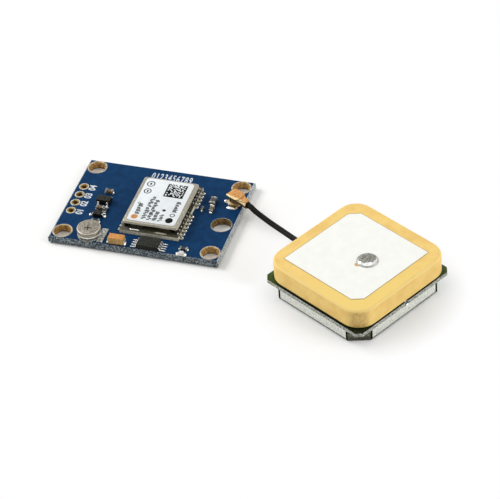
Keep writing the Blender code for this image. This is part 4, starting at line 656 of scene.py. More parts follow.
# %% Label print
label_ink = finish("black_label_ink", ["#040506", "#0A0B0E"], 0.3, (0.5, 0.65), 0.1, Specular_IOR_Level=0.1)
grey_ink = finish("grey_label_ink", ["#15171B", "#34383F"], 0.25, (0.5, 0.65), 0.1, Specular_IOR_Level=0.1)
orange_ink = finish("orange_label_ink", ["#BC7C3A", "#C88A46"], 0.4, (0.5, 0.65), 0.1)
LABEL_TOP = 4.09
INK = 0.01
LABEL_CENTRE = Vector((MODULE_X, MODULE_Y, LABEL_TOP))
PRINT_SEED = 11


def bars(name, boxes, material):
    """One piece of flat marks: each is an x, a y, a width and a depth from the label's centre, in mm."""
    model = primitive("cube", name + "_mark", size=1.0)
    places = [Matrix.Translation(LABEL_CENTRE + Vector((x, y, INK / 2))) @ Matrix.Diagonal((w, d, INK, 1.0))
              for x, y, w, d in boxes]
    settle(copies(name, model, places), [material], smooth=None)
    bpy.data.objects.remove(model)


def ring(name, x, y, radius, width, material):
    """A printed ring, made by insetting a flat disc and taking its middle out."""
    piece = primitive("circle", name, vertices=32, radius=radius * MM, fill_type="NGON",
                      location=(LABEL_CENTRE + Vector((x, y, 0.0))) * MM)
    choose(piece, "FACE", lambda face: True)
    bpy.ops.mesh.inset(thickness=width * MM)
    bpy.ops.mesh.delete(type="FACE")
    bpy.ops.mesh.select_all(action="SELECT")
    bpy.ops.mesh.extrude_region_move(TRANSFORM_OT_translate={"value": (0, 0, INK * MM)})
    bpy.ops.mesh.select_all(action="SELECT")
    bpy.ops.mesh.normals_make_consistent(inside=False)
    settle(piece, [material])


def dot(name, x, y, across, along, material):
    """A printed dot."""
    piece = primitive("cylinder", name, vertices=28, radius=0.5, depth=1.0)
    choose(piece, "EDGE", lambda edge: not is_upright_edge(edge) and edge_height(edge) > 0)
    bpy.ops.mesh.bevel(offset=0.05, segments=1, affect="EDGES")
    place = (Matrix.Translation((LABEL_CENTRE + Vector((x, y, INK / 2))) * MM)
             @ Matrix.Diagonal((across * MM, along * MM, INK * MM, 1.0)))
    settle(piece, [material], place=place)


random.seed(PRINT_SEED)
# Each row of strokes: its start and end along the module, where it runs across, and its height.
TYPE_ROWS = [(-3.50, -4.4, -1.9, 1.0), (-1.80, -5.65, 1.3, 0.95), (-0.65, -5.75, 0.6, 0.95),
             (0.45, -5.7, -3.55, 0.85), (1.55, -5.7, -3.45, 0.85), (3.70, -2.45, 0.45, 1.0)]
STROKE, STROKE_GAP, LETTER_GAP = 0.26, 0.07, 0.17
strokes = []
for x, start, end, height in TYPE_ROWS:
    y = start
    while y < end:
        for part in range(random.choice((2, 2, 3))):
            length = height * random.uniform(0.55, 1.0)
            shift = (height - length) / 2 * random.choice((-1, 1))
            strokes.append((x + shift, y, length, STROKE))
            y += STROKE + STROKE_GAP
        y += LETTER_GAP - STROKE_GAP
bars("label_type_strokes", strokes, grey_ink)

# A module of the square field is likelier where its two neighbours are white, so its blots stay small.
# Two full lines close the field, a little thinner than a module.
FIELD_X, FIELD_Y, FIELD_SIDE, FIELD_CELLS, FIELD_LINE = -0.15, 1.7, 4.0, 14, 0.98
FIELD_CHANCES = (0.85, 0.62, 0.36)
cell = FIELD_SIDE / FIELD_CELLS
black = set()
for i in range(FIELD_CELLS - 1):
    for j in range(1, FIELD_CELLS):
        if random.random() < FIELD_CHANCES[((i - 1, j) in black) + ((i, j - 1) in black)]:
            black.add((i, j))
modules = [(FIELD_X + cell * (i + 0.5), FIELD_Y + cell * (j + 0.5), cell, cell) for i, j in sorted(black)]
modules.append((FIELD_X + FIELD_SIDE / 2, FIELD_Y + cell / 2, FIELD_SIDE, cell * FIELD_LINE))
modules.append((FIELD_X + FIELD_SIDE - cell / 2, FIELD_Y + FIELD_SIDE / 2, cell * FIELD_LINE, FIELD_SIDE))
bars("label_module_field", modules, label_ink)

ring("label_ring_large", -3.67, 4.91, 0.84, 0.2, grey_ink)
dot("label_ring_middle", -3.67, 4.91, 0.42, 0.60, grey_ink)
ring("label_ring_small", -3.63, 2.62, 0.78, 0.2, grey_ink)
dot("label_ring_small_middle", -3.63, 2.62, 0.35, 0.75, grey_ink)
ring("label_ring_lower", 3.56, -3.55, 0.52, 0.17, grey_ink)
ring("label_ring_tiny", -4.08, -1.24, 0.30, 0.10, grey_ink)
dot("label_dot_black", 3.42, -5.2, 1.5, 1.6, label_ink)
dot("label_dot_grey", 1.48, -2.44, 0.75, 0.65, grey_ink)
dot("label_dot_orange", -3.67, -5.41, 1.35, 1.35, orange_ink)

# %% [markdown]
# The board's own print is white ink. The pads of the header are numbered one to four, and the words behind
# the module are left out: a plain row of numbers of the same length and height takes their place.

# %% Board print
board_ink = finish("white_board_ink", ["#BEC6CE", "#DFE3E7"], 0.3, (0.5, 0.65), 0.1)
BOARD_TOP, INK_LIFT = 1.6, 0.006
PAD_SIZE, PAD_X, PAD_TURN, PAD_SQUEEZE = 1.95, -13.9, 90.0, 0.85
PAD_PITCH, PAD_START = 2.54, -3.91
ROW_SIZE, ROW_SQUEEZE, ROW_START, ROW_STEP, ROW_Y, ROW_COUNT = 2.7, 0.5, -3.2, 0.87, 9.95, 10
NUMBER_WEIGHT = 0.055


def printed_number(name, number, x, y, size, squeeze, turn=0.0):
    """A number printed on the board, made a mesh before it is put in place. Squeezing makes it narrower."""
    deselect()
    bpy.ops.object.text_add()
    piece = bpy.context.object
    piece.data.body = number
    piece.data.size = size * MM
    piece.data.align_x = "CENTER"
    piece.data.align_y = "CENTER"
    piece.data.extrude = INK_LIFT / 2 * MM
    piece.data.offset = NUMBER_WEIGHT * MM
    bpy.ops.object.convert(target="MESH")
    piece = bpy.context.object
    piece.name = piece.data.name = name + number
    place = Matrix.Translation(Vector((x, y, BOARD_TOP + INK_LIFT / 2)) * MM)
    place = place @ Matrix.Rotation(math.radians(turn), 4, "Z") @ Matrix.Diagonal((squeeze, 1.0, 1.0, 1.0))
    settle(piece, [board_ink], place=place, smooth=None)


for index in range(4):
    printed_number("pad_number_", "0" + str(index + 1), PAD_X, PAD_START + PAD_PITCH * index, PAD_SIZE,
                   PAD_SQUEEZE, PAD_TURN)
for index in range(ROW_COUNT):
    printed_number("row_number_", str(index), ROW_START + ROW_STEP * index, ROW_Y, ROW_SIZE, ROW_SQUEEZE)

# %% [markdown]
# The backup cell lies with its can upwards: a shallow cup of nickel-plated steel, dull from handling, with a
# rolled foot and a plus stamped in its face. The rim gets a pale painted highlight, the foot is painted
# bright as a painted highlight, and the plus is a flat dark cross of painted shade. Two thin tabs, welded to
# it, are soldered to the board.

# %% Backup cell
cell_steel = finish("nickel_plated_steel", ["#6E6D62", "#908A7C", "#AFA396"], 0.3, (0.36, 0.55), 0.12, 0.01,
                    Metallic=0.6)
# A pale painted highlight on the can's rounded rim.
slope_colour(cell_steel, 0.98, 0.55, "#D2CFC4")
cell_foot = finish("cell_foot_painted_highlight", ["#E0DDD2", "#F2F0E8"], 0.4, (0.25, 0.4), Metallic=0.1)
cell_low, cell_high = (corner.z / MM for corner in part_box("cell_can"))
FOOT_HEIGHT = 0.34
can = rounded_copy("cell_can", 0.2, 3)
cut_across(can, 2, [cell_low + FOOT_HEIGHT])
mark_faces(can, lambda point: point.z < cell_low + FOOT_HEIGHT)
settle(can, [cell_steel, cell_foot], ("cell_can",), smooth=None)

PLUS_X, PLUS_Y, PLUS_TURN, PLUS_ARM, PLUS_LINE, PLUS_LIFT = -9.72, -10.35, 15.0, 1.5, 0.3, 0.012
# The plus is painted shade: a flat dark cross.
stamp_shadow = finish("stamped_plus_painted_shade", ["#26221A", "#4C463A"], 0.2, (0.5, 0.6))
bar = primitive("cube", "plus_bar", size=1.0)
places = [lump_at(PLUS_X, PLUS_Y, cell_high, 2 * PLUS_ARM, 2 * PLUS_LINE, 2 * PLUS_LIFT, PLUS_TURN + turn)
          for turn in (0, 90)]
settle(copies("cell_plus_mark", bar, places), [stamp_shadow], smooth=None)
bpy.data.objects.remove(bar)

# %% Cell cap, gasket and tabs
dress("cell_cap", cell_steel, 0.05)
gasket = finish("nylon_gasket", ["#15140F", "#262520"], 0.4, (0.5, 0.6))
dress("cell_gasket", gasket, 0.02)
cell_tab = finish("flux_stained_tab", ["#6E6C62", "#A7A8A0", "#E6E6E0"], 0.45, (0.3, 0.45), 0.2, 0.006,
                  Metallic=0.4)
for node in ("cell_lower_tab", "cell_side_tab"):
    dress(node, cell_tab, 0.02)

# %% [markdown]
# A chip resistor or capacitor is a tiny brick with a metal cap on each end. The caps are only a change of
# finish, so the rounded copy is cut by two planes and the faces beyond them get the second finish. Solder
# climbs each end in a small lump. Moulded packages with leads are told apart in the same way: whatever
# sticks out past the moulding is tinned metal.

# %% Chip parts
fired_ceramic = finish("fired_capacitor_ceramic", ["#2E2618", "#57482F", "#7E6A4C"], 0.25, (0.4, 0.55), 0.1,
                       0.003)
black_glaze = finish("resistor_glaze", ["#15151A", "#2A2B2E"], 0.3, (0.3, 0.45), 0.1, 0.003)
ferrite = finish("ferrite_body", ["#100F0B", "#2A2823", "#6E7479"], 0.25, (0.35, 0.5), 0.1, 0.004)
cap_tin = finish("terminal_tin", ["#D9D8D0", "#F0EFEA"], 0.3, (0.2, 0.35), 0.1, 0.006, Metallic=0.9)
# The caps' near-black and near-white patches are painted shade and painted highlights, standing in for
# glints.
cap_with_painted_glints = finish("terminal_cap_painted_glints", ["#35342D", "#7C7A70", "#EAE9E4"], 0.22, (0.35, 0.5), 0.1, 0.006,
                  Metallic=0.4)
CHIP_EDGE, CAP_SHARE = 0.04, 0.24
LUMP_REACH, LUMP_WIDTH, LUMP_HEIGHT = 0.55, 0.85, 0.6


def chip(node, body, along):
    """A chip part: its rounded body, its two end caps, and the solder at each end."""
    low, high = (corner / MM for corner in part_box(node))
    size, centre = high - low, (low + high) / 2
    cap = size[along] * CAP_SHARE
    piece = rounded_copy(node, CHIP_EDGE)
    cut_across(piece, along, [low[along] + cap, high[along] - cap])
    mark_faces(piece, lambda point: abs(point[along] - centre[along]) > size[along] / 2 - cap)
    settle(piece, [body, cap_with_painted_glints], (node,), smooth=None)
    across = size[1 - along] * LUMP_WIDTH
    lumps = []
    for end in (low[along], high[along]):
        x, y = (end, centre.y) if along == 0 else (centre.x, end)
        reach = (LUMP_REACH, across) if along == 0 else (across, LUMP_REACH)
        lumps.append((x, y, *reach, size.z * LUMP_HEIGHT))
    board_solder(node + "_solder", lumps)


for node, body, slot, along in [("input_capacitor", fired_ceramic, "chip_ceramic", 0),
                                ("output_capacitor", fired_ceramic, "chip_ceramic", 0),
                                ("bypass_capacitor", fired_ceramic, "chip_ceramic", 1),
                                ("rf_capacitor", fired_ceramic, "chip_ceramic", 1),
                                ("supply_inductor", ferrite, "chip_ceramic", 1),
                                ("feed_resistor", black_glaze, "moulding_compound", 1),
                                ("charge_resistor", black_glaze, "moulding_compound", 0),
                                ("led_resistor", black_glaze, "moulding_compound", 0)]:
    chip(node, body, along)

# %% Moulded packages and their leads
# Epoxy filled with glass beads: olive-black, matt, with a fine even grain from the mould.
moulded_epoxy = finish("moulded_black_epoxy", ["#100F0A", "#232319", "#3A3D3D"], 0.3, (0.5, 0.68), 0.12,
                       0.01, Specular_IOR_Level=0.15)
upright_shades(moulded_epoxy, ["#0C0C08", "#16150F"], 0.4)
PACKAGE_EDGE = 0.04


def package(node, half, along):
    """A moulded package: past this distance from its middle line, along x (0) or y (1), it is all leads."""
    piece = rounded_copy(node, PACKAGE_EDGE)
    centre = middle(node)
    mark_faces(piece, lambda point: abs(point[along] - centre[along]) > half)
    settle(piece, [moulded_epoxy, cap_tin], (node,), smooth=None)


package("regulator", 0.82, 1)
package("charging_diode", 0.87, 0)
package("memory_chip", 2.22, 0)

# The size of the solder at each lead, and where those leads end: five, two, and four on each side.
REGULATOR_SOLDER, DIODE_SOLDER, MEMORY_SOLDER = (0.5, 0.45, 0.3), (0.55, 0.9, 0.42), (1.0, 0.26, 0.2)
REGULATOR_ENDS = [(-11.05, 1.45), (-9.15, 1.45), (-11.05, -1.57), (-10.1, -1.57), (-9.15, -1.57)]
DIODE_ENDS = [(-11.5, -4.4), (-8.4, -4.4)]
MEMORY_Y, MEMORY_PITCH, MEMORY_LEADS = -10.8, 0.65, 4
MEMORY_ENDS = [(x, MEMORY_Y + MEMORY_PITCH * (row - (MEMORY_LEADS - 1) / 2))
               for x in (-0.2, 6.15) for row in range(MEMORY_LEADS)]
lumps = [(x, y, *REGULATOR_SOLDER) for x, y in REGULATOR_ENDS]
lumps += [(x, y, *DIODE_SOLDER) for x, y in DIODE_ENDS]
lumps += [(x, y, *MEMORY_SOLDER) for x, y in MEMORY_ENDS]
board_solder("package_lead_solder", lumps)

# %% Tantalum capacitor and lamp
orange_epoxy = finish("orange_moulded_epoxy", ["#B27030", "#C5833A", "#D69A54"], 0.3, (0.45, 0.6), 0.15,
                      0.006)
# Its upright faces are painted darker as painted shade.
upright_shades(orange_epoxy, ["#8A6A32", "#A58143", "#BC965A"], 0.3)
dress("tantalum_body", orange_epoxy, 0.2)
for node in ("tantalum_terminal_1", "tantalum_terminal_2"):
    dress(node, cap_tin, 0.02)
board_solder("tantalum_solder", [(-5.3, -11.45, 0.7, 0.8, 0.3), (-1.75, -11.3, 0.5, 1.3, 0.4)])

lamp_plastic = finish("white_lamp_moulding", ["#DAD9D2", "#ECEBE4"], 0.4, (0.35, 0.5), 0.1, 0.003)
lamp_resin = finish("clear_lamp_resin", ["#E8E8E2", "#F6F6F2"], 0.4, (0.12, 0.22), 0.1, 0.002,
                    Transmission_Weight=0.35, IOR=1.5)
dress("led_base", lamp_plastic, 0.02)
dress("led_lens", lamp_resin, 0.08)
board_solder("lamp_solder", [(9.1, -11.94, 0.6, 0.95, 0.36), (10.74, -11.94, 0.6, 0.95, 0.36)])

# %% [markdown]
# The antenna's socket and plug are stamped and rolled from thin brass and plated with gold over nickel. The
# plating is a warm yellow-orange. Its rounded edges get a pale painted highlight and its upright faces a
# dark painted shade. The socket stands on a white plastic base and is soldered down by its shell.

# %% Socket and plug
gold = finish("gold_plated_brass", ["#C48345", "#D29654", "#DDAA66"], 0.5, (0.35, 0.5), 0.15, 0.008,
              Metallic=0.6)
# Upright faces are painted dark as painted shade; rounded edges get a pale painted highlight.
upright_shades(gold, ["#2C2414", "#5C4622", "#B08A4C"], 0.3)
slope_colour(gold, 0.97, 0.2, "#F8E6B4")
# A pale painted highlight runs along the long near edge of the plug's plate.
PLATE_HIGHLIGHT_ALONG, PLATE_HIGHLIGHT_FROM, PLATE_HIGHLIGHT_TO = (-0.358, -0.934, 0.0), -9.85, -9.7
tree = gold.node_tree
plate_highlight = add_node(tree, "MapRange", {"Value": distance_along(tree, PLATE_HIGHLIGHT_ALONG), "From Min": PLATE_HIGHLIGHT_FROM * MM,
                                   "From Max": PLATE_HIGHLIGHT_TO * MM}).outputs[0]
on_top = facing(tree, (0.0, 0.0, 1.0), 0.5, 0.6)
plate_highlight_top = add_node(tree, "Math", {0: plate_highlight, 1: on_top}, operation="MULTIPLY").outputs[0]
lay_over(gold, plate_highlight_top, drift(tree, ["#EBCB86", "#FBEFC6"], 0.4))
socket_plastic = finish("white_socket_moulding", ["#D8D4C6", "#E6E3D8"], 0.4, (0.4, 0.5), 0.1)
dress("plug_shell", gold, 0.13)
dress("plug_contact", gold, 0.02)
dress("plug_insulator", socket_plastic, 0.02)
dress("socket_shell", gold, 0.06)
dress("socket_pin", gold, 0.02)
dress("socket_base", socket_plastic, 0.02)
board_solder("socket_solder", [(15.2, 3.65, 2.1, 0.9, 0.34), (15.5, 7.15, 2.0, 0.7, 0.3),
                               (13.5, 5.42, 0.9, 0.8, 0.4)])

# %% [markdown]
# The antenna's can is folded tin-plated sheet: each wall and each cut-off corner is a flap of its own, with
# an open seam beside it. The plate is bright and finely speckled. A painted shade darkens the fold at its
# foot and a band at its top under the board's edge. The inside and the seams are painted dark as shade, and
# so is one corner flap.

# %% Antenna can
CAN_FOOT, CAN_BROW = (0.0, 0.44), (2.62, 4.0)
can_tin = finish("tin_plated_can", ["#CDCFC7", "#E2E4DC", "#F3F5EF"], 0.35, (0.35, 0.5), 0.16, 0.006,
                 Metallic=0.3)
# Painted shade: darker along the fold at the foot, and a dark band at the top under the board's edge.
band_shades(can_tin, *CAN_FOOT, ["#3A3C34", "#6C6E62", "#A2A496"], 0.3)
band_shades(can_tin, *CAN_BROW, ["#2C2E28", "#5A5C54"], 0.5)
can_inside = finish("can_inside_painted_shade", ["#14150F", "#22231B"], 0.5, (0.5, 0.6), Specular_IOR_Level=0.1)
shaded_flap = finish("corner_flap_painted_shade", ["#333226", "#545341", "#8A8974"], 0.35, (0.4, 0.55), 0.16, 0.006,
                  Metallic=0.3)
band_shades(shaded_flap, CAN_FOOT[0], 0.9, ["#1E1E17", "#3B3A2E", "#5E5D50"], 0.3)
CAN_SIDE, CAN_HEIGHT, CAN_CORNER, CAN_WALL = 24.2, 2.83, 3.05, 0.25
SEAM_WIDTH, SEAM_START, SEAM_REACH, FOLD = 0.46, 0.15, 1.5, 0.22
NOTCH_Y, NOTCH_HALF, NOTCH_DEPTH = 0.5, 0.8, 1.55
half = CAN_SIDE / 2
can = block("antenna_can", (-half, -half, 0), (half, half, CAN_HEIGHT))
round_over(can, CAN_CORNER, 1, is_upright_edge)
round_over(can, FOLD, 3, lambda e: not is_upright_edge(e) and edge_height(e) < 0.01)
choose(can, "FACE", lambda face: face.normal.z > 0.9)
bpy.ops.mesh.delete(type="FACE")
make_active(can)
wall = can.modifiers.new("sheet", "SOLIDIFY")
wall.thickness = CAN_WALL * MM
wall.offset = -1.0
wall.use_even_offset = True
bpy.ops.object.modifier_apply(modifier=wall.name)

# The seams are slots, cut by upright plates that stand across the wall beside each corner.
cutter = primitive("cube", "seam_cutter", size=1.0)
inner = half - CAN_CORNER - SEAM_WIDTH / 2
seams = []
for quarter in range(4):
    turn = Matrix.Rotation(math.radians(90 * quarter), 4, "Z")
    for side in (-1, 1):
        spot = Vector((half, side * inner, SEAM_START + CAN_HEIGHT / 2))
        seams.append(turn @ Matrix.Translation(spot)
                     @ Matrix.Diagonal((SEAM_REACH, SEAM_WIDTH, CAN_HEIGHT, 1.0)))
seams.append(Matrix.Translation((-half, NOTCH_Y, CAN_HEIGHT))
             @ Matrix.Diagonal((SEAM_REACH, 2 * NOTCH_HALF, 2 * NOTCH_DEPTH, 1.0)))
slots = copies("seam_slots", cutter, seams)
make_active(can)
cut = can.modifiers.new("seams", "BOOLEAN")
cut.object = slots
cut.operation = "DIFFERENCE"
bpy.ops.object.modifier_apply(modifier=cut.name)
bpy.data.objects.remove(slots)
bpy.data.objects.remove(cutter)

CAN_SKIN = 0.1


def can_part(point):
    """A can face's finish: 0 for a wall, 1 for the inside and the seams, 2 for one corner flap; 1 and 2 are
    painted shade.
    """
    flap_depth = (2 * half - CAN_CORNER - abs(point.x) - abs(point.y)) / math.sqrt(2)
    if point.z > CAN_SKIN and min(half - abs(point.x), half - abs(point.y), flap_depth) > CAN_SKIN:
        return 1
    return 2 if point.z > 0.01 and flap_depth < CAN_SKIN and point.x > 0 > point.y else 0


mark_faces(can, can_part)
settle(can, [can_tin, can_inside, shaded_flap], ("antenna_shield",), ANTENNA)
# Two splashes of solder lie on the rim: x, y, height of the foot, then length, width and height.
RIM_SOLDER = [(12.15, 0.75, 2.35, 0.5, 1.1, 0.42), (12.1, -2.6, 2.5, 0.3, 0.5, 0.25)]
settle(copies("can_rim_solder", lump, [lump_at(*splash) for splash in RIM_SOLDER]), [bright_solder],
       (), ANTENNA)

# %% Antenna board
# Green varnish shows lit at two outer corners; the ledge round the tile is painted near-black as the tile's
# shade.
LIT_ANGLE, LEDGE_END, LIT_START = math.radians(16.5), 14.4, 15.4
LIT_CORNERS = (math.cos(LIT_ANGLE), math.sin(LIT_ANGLE), 0.0)
MIDDLE_OF_ANTENNA = (ANTENNA.translation.x, ANTENNA.translation.y, 0.0)
antenna_laminate = finish("green_solder_mask", ["#2D3D14", "#384A1A", "#405220"], 0.8, (0.4, 0.5), 0.2,
                          0.002, Specular_IOR_Level=0.12)
tree = antenna_laminate.node_tree
place = add_node(tree, "TexCoord").outputs["Object"]
from_middle = add_node(tree, "VectorMath", {0: place, 1: MIDDLE_OF_ANTENNA}, operation="SUBTRACT").outputs[0]
along = add_node(tree, "VectorMath", {0: from_middle, 1: LIT_CORNERS},
                 operation="DOT_PRODUCT").outputs["Value"]
reach = add_node(tree, "Math", {0: along}, operation="ABSOLUTE").outputs[0]
ledge = add_node(tree, "MapRange", {"Value": reach, "From Min": LIT_START * MM,
                                    "From Max": LEDGE_END * MM}).outputs[0]
lay_over(antenna_laminate, ledge, drift(tree, ["#0A0D06", "#161C0C", "#2C3816"], 0.3))
upright_shades(antenna_laminate, ["#6A6D68", "#9A9D95", "#CED0C8"], 0.3)
dress("antenna_board", antenna_laminate, 0.02)
black_tape = finish("black_foam_tape", ["#14140F", "#22221C"], 0.4, (0.6, 0.75), 0.15, 0.01)
silver_paint = finish("fired_silver", ["#F2F3EC", "#F6F7F0"], 1.5, (0.5, 0.65), 0.12, 0.004)
dress("antenna_tape", black_tape, 0.02)
dress("antenna_ground_layer", silver_paint, 0)

# %% [markdown]
# The ceramic is pressed from powder and fired, then tumbled: a heavy ochre tile with generous round corners,
# a soft upper edge and a chalky, slightly uneven surface. It is modelled as a block whose upright edges are
# rounded first, because the rim that is rounded next has to follow them.

# %% Antenna ceramic
TILE_SIDE, TILE_LOW, TILE_HIGH, TILE_SHIFT = 24.7, 4.05, 8.05, 0.12
TILE_CORNER, TILE_TOP_EDGE, TILE_BOTTOM_EDGE = 4.0, 0.6, 0.06
half = TILE_SIDE / 2
ochre = finish("fired_ochre_ceramic", ["#EAC270", "#EFCA77", "#F2D07D"], 2.5, (0.5, 0.64), 0.22, 0.012,
               Specular_IOR_Level=0.25)
# The top is painted yellower towards one corner as painted light, and that corner's side is painted darker
# as painted shade. The rounded upper edge gets a pale painted highlight.
YELLOW_SIDE = (0.35, -0.94, 0.0)
YELLOW_FROM, YELLOW_TO = 29.0, 37.0
SHADED_CORNER_SIDE = ((0.284, -0.959, 0.0), 0.86, 0.97)
tree = ochre.node_tree
yellow = add_node(tree, "MapRange", {"Value": distance_along(tree, YELLOW_SIDE),
                                     "From Min": YELLOW_FROM * MM, "From Max": YELLOW_TO * MM}).outputs[0]
on_top = add_node(tree, "Math", {0: 1.0, 1: upright(tree)}, operation="SUBTRACT").outputs[0]
yellow_top = add_node(tree, "Math", {0: yellow, 1: on_top}, operation="MULTIPLY").outputs[0]
lay_over(ochre, yellow_top, linear("#F2D27A"))
slope_colour(ochre, 0.98, 0.2, "#F6D688")
lay_over(ochre, facing(tree, *SHADED_CORNER_SIDE), drift(tree, ["#CFA95F", "#DBB86E", "#E2C27A"], 0.6))
tile = block("antenna_ceramic_tile", (TILE_SHIFT - half, TILE_SHIFT - half, TILE_LOW),
             (TILE_SHIFT + half, TILE_SHIFT + half, TILE_HIGH))
round_over(tile, TILE_CORNER, 16, is_upright_edge)
round_over(tile, TILE_TOP_EDGE, 6, lambda e: not is_upright_edge(e) and edge_height(e) > TILE_HIGH - 0.01)
round_over(tile, TILE_BOTTOM_EDGE, 3, lambda e: not is_upright_edge(e) and edge_height(e) < TILE_LOW + 0.01)
settle(tile, [ochre], ("antenna_ceramic",), ANTENNA)

# %% Silver patch
# The patch is silver paste, screened and fired: matt white, with a thin darker line where it thins out.
PATCH_SIDE, PATCH_TRIM, PATCH_LOW, PATCH_HIGH = 19.3, 1.7, 8.06, 8.11
PATCH_RIM, PATCH_STEP = 0.12, 0.015
patch_edge = finish("fired_silver_edge", ["#A08A60", "#B9A173"], 0.5, (0.5, 0.6))


def patch_plate(name, side, low, high):
    """A square plate with the two trimmed corners that tune the patch."""
    piece = block(name, (-side / 2, -side / 2, low), (side / 2, side / 2, high))
    reach = side / 2 * 0.9
    round_over(piece, PATCH_TRIM, 1, lambda e: is_upright_edge(e)
               and e.verts[0].co.x * e.verts[0].co.y < 0 and abs(e.verts[0].co.x) > reach * MM)
    return piece


settle(patch_plate("antenna_patch_edge", PATCH_SIDE, PATCH_LOW, PATCH_HIGH - PATCH_STEP),
       [patch_edge], (), ANTENNA, smooth=None)
settle(patch_plate("antenna_patch_silver", PATCH_SIDE - 2 * PATCH_RIM, PATCH_LOW, PATCH_HIGH),
       [silver_paint], ("antenna_patch",), ANTENNA, smooth=None)

# %% Feed solder
# A generous dome of solder: dark and grainy where it frosted, over the crown and down one side, bright on
# the rest of its slope, and grey again at its thin foot, which is painted shade.
FEED_X, FEED_Y, FEED_LOW = 2.65, 0.3, 8.1
DOME_PROFILE = [(2.1, 0.0), (2.06, 0.1), (1.97, 0.2), (1.84, 0.28), (1.65, 0.38), (1.42, 0.48), (1.2, 0.555),
                (1.0, 0.6), (0.7, 0.625), (0.35, 0.64), (0.001, 0.645)]
FROST_X, FROST_Y, FROST_RADIUS, FOOT_RADIUS = -0.4, 0.32, 1.78, 1.9
dome_crown = finish("frosted_solder_crown", ["#5B5A50", "#86857B", "#B4B3AB"], 0.22, (0.4, 0.6), 0.25, 0.03,
                    Metallic=0.3)
dome_skirt = finish("bright_solder_skirt", ["#DDDEDC", "#F4F5F2"], 0.8, (0.08, 0.18), 0.4, 0.006,
                    Metallic=1.0)
dome_foot = finish("grey_solder_foot", ["#9C9D97", "#C0C1BA"], 0.4, (0.4, 0.5), Metallic=0.3)
dome = spun("feed_solder_dome", [(r, z + FEED_LOW) for r, z in DOME_PROFILE], 56, (0, 0, 0))
choose(dome, "EDGE", lambda edge: edge_height(edge) < FEED_LOW + 0.001)
bpy.ops.mesh.edge_face_add()
deselect()
mark_faces(dome, lambda point: 0 if math.hypot(point.x - FROST_X, point.y - FROST_Y) < FROST_RADIUS
           else 1 + (math.hypot(point.x, point.y) > FOOT_RADIUS))
settle(dome, [dome_crown, dome_skirt, dome_foot], ("antenna_feed_solder",),
       ANTENNA @ Matrix.Translation((FEED_X * MM, FEED_Y * MM, 0.0)))

# %% Flux beside the feed
# Flux has run out at the dome's lower left and left a small tan drop on the silver.
flux_tan = finish("tan_flux", ["#C79A5E", "#D9B27A"], 0.4, (0.4, 0.5))
FLUX_DROP = lump_at(FEED_X - 0.62, FEED_Y - 1.98, FEED_LOW, 1.35, 1.15, 0.05, 60.0)
settle(copies("feed_flux_drop", lump, [FLUX_DROP]), [flux_tan], (), ANTENNA)

# %% Pieces inside the antenna and the module
for node in ("antenna_feed_pin", "antenna_feed_joint", "cable_joint"):
    dress(node, tin_plate, 0.02)
for node in ("antenna_amplifier", "antenna_resistor", "receiver_chip"):
    dress(node, moulded_epoxy, 0.03)
for node in ("antenna_capacitor", "module_saw_filter"):
    dress(node, fired_ceramic, 0.03)
for node in ("antenna_saw_filter", "reference_crystal"):
    dress(node, nickel, 0.04)

# %% [markdown]
# Last comes the studio. The table is white paper that takes the object's soft shadow. Away from the object
# it fades into the white of the backdrop, as a product picture's floor does, so the camera and every mirror
# see no horizon. The fade starts at the board's edges, later and slower on the side of its long shadow,
# and in a circle round the antenna.

# %% Table
TABLE_SIDE, TABLE_DROP = 1600.0, 0.02
# One side of the board each: its direction, how far out the fade starts, and how wide the fade is.
BOARD_SIDES = [((1, 0, 0), 19.5, 10.0), ((-1, 0, 0), 17.5, 5.0), ((0, 1, 0), 12.5, 4.0),
               ((0, -1, 0), 12.5, 4.0)]
ANTENNA_FADE = (13.5, 21.0)

deselect()
bpy.ops.mesh.primitive_plane_add(size=TABLE_SIDE * MM, location=(0, 0, -TABLE_DROP * MM))
table = bpy.context.object
table.name = "white_table"
paper = bpy.data.materials.new("white_paper")
paper.use_nodes = True
tree = paper.node_tree
lit = tree.nodes["Principled BSDF"]
lit.inputs["Base Color"].default_value = linear("#FAFAF8")
lit.inputs["Roughness"].default_value = 0.9
lit.inputs["Specular IOR Level"].default_value = 0.0
off_board = 0.0
for direction, edge, fade in BOARD_SIDES:
    beyond = add_node(tree, "MapRange", {"Value": distance_along(tree, direction), "From Min": edge * MM,
                                         "From Max": (edge + fade) * MM}).outputs[0]
    off_board = add_node(tree, "Math", {0: off_board, 1: beyond}, operation="MAXIMUM").outputs[0]
place = add_node(tree, "TexCoord").outputs["Object"]
away = add_node(tree, "VectorMath", {0: place, 1: MIDDLE_OF_ANTENNA}, operation="DISTANCE").outputs["Value"]
off_antenna = add_node(tree, "MapRange", {"Value": away, "From Min": ANTENNA_FADE[0] * MM,
                                          "From Max": ANTENNA_FADE[1] * MM}).outputs[0]
open_table = add_node(tree, "Math", {0: off_board, 1: off_antenna}, operation="MINIMUM").outputs[0]
path = add_node(tree, "LightPath").outputs
mirrored = add_node(tree, "Math", {0: path["Is Glossy Ray"], 1: path["Is Transmission Ray"]},
                    operation="MAXIMUM").outputs[0]
seen = add_node(tree, "Math", {0: path["Is Camera Ray"], 1: mirrored}, operation="MAXIMUM").outputs[0]
share = add_node(tree, "Math", {0: seen, 1: open_table}, operation="MULTIPLY").outputs[0]
white = add_node(tree, "Emission", {"Color": (1, 1, 1, 1), "Strength": 1.0})
both = add_node(tree, "MixShader", {0: share, 1: lit.outputs[0], 2: white.outputs[0]})
tree.links.new(both.outputs[0], tree.nodes["Material Output"].inputs["Surface"])
table.data.materials.append(paper)

# %% [markdown]
# The light of the picture is broad and even: one panel overhead and one on each side, so the faces that turn
# straight to the camera are the darkest and both flanks of the antenna are lit. A fourth panel, high on the
# left, throws the board's soft shadow to the right. The white room fills in, and is dimmer on the side where
# the camera and the photographer are.

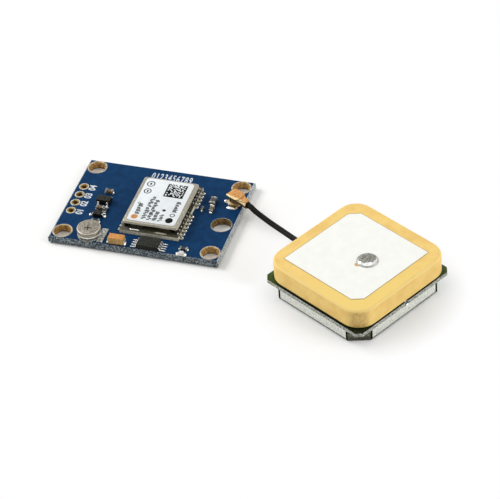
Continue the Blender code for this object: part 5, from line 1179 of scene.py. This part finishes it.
# %% Lamps and room
# Each panel has its place and its side in metres, and its power in watts.
TARGET = (0.02, -0.005, 0.0)
TOP_PANEL = ((0.02, 0.0, 0.45), 0.36, 0.12)
KEY_PANEL = ((-0.31, 0.07, 0.27), 0.16, 0.88)
LEFT_PANEL = ((-0.36, -0.12, 0.20), 0.30, 0.42)
RIGHT_PANEL = ((0.40, 0.0, 0.20), 0.30, 0.84)
ROOM_LEVEL, ROOM_SEEN, FRONT_SHARE = 0.5, 0.9, 0.3
FRONT = (0.35, -0.94, 0.0)
FRONT_FROM, FRONT_TO = 0.45, 0.95


def softbox(name, place, side, power):
    """A square panel lamp that faces the object."""
    data = bpy.data.lights.new(name, "AREA")
    data.size = side
    data.energy = power
    lamp = bpy.data.objects.new(name, data)
    bpy.context.scene.collection.objects.link(lamp)
    lamp.location = place
    lamp.rotation_euler = (Vector(TARGET) - Vector(place)).to_track_quat("-Z", "Y").to_euler()


softbox("top_panel", *TOP_PANEL)
softbox("key_panel", *KEY_PANEL)
softbox("left_panel", *LEFT_PANEL)
softbox("right_panel", *RIGHT_PANEL)

room = bpy.data.worlds.new("white_room")
bpy.context.scene.world = room
room.use_nodes = True
tree = room.node_tree
path = add_node(tree, "LightPath").outputs
mirrored = add_node(tree, "Math", {0: path["Is Glossy Ray"], 1: path["Is Transmission Ray"]},
                    operation="MAXIMUM").outputs[0]
level = add_node(tree, "MapRange", {"Value": mirrored, "To Min": ROOM_LEVEL, "To Max": ROOM_SEEN}).outputs[0]
direction = add_node(tree, "TexCoord").outputs["Generated"]
ahead = add_node(tree, "VectorMath", {0: direction, 1: FRONT}, operation="DOT_PRODUCT").outputs["Value"]
dim = add_node(tree, "MapRange", {"Value": ahead, "From Min": FRONT_FROM, "From Max": FRONT_TO,
                                  "To Min": 1.0, "To Max": FRONT_SHARE}).outputs[0]
dimmed = add_node(tree, "Math", {0: level, 1: dim}, operation="MULTIPLY").outputs[0]
strength = add_node(tree, "Mix", {0: path["Is Camera Ray"], 2: dimmed, 3: 1.0}, data_type="FLOAT")
tree.links.new(strength.outputs[0], tree.nodes["Background"].inputs["Strength"])
tree.nodes["Background"].inputs["Color"].default_value = (1, 1, 1, 1)

bpy.context.scene.view_settings.view_transform = "Standard"

# %% Remove the solder lump model
bpy.data.objects.remove(lump)
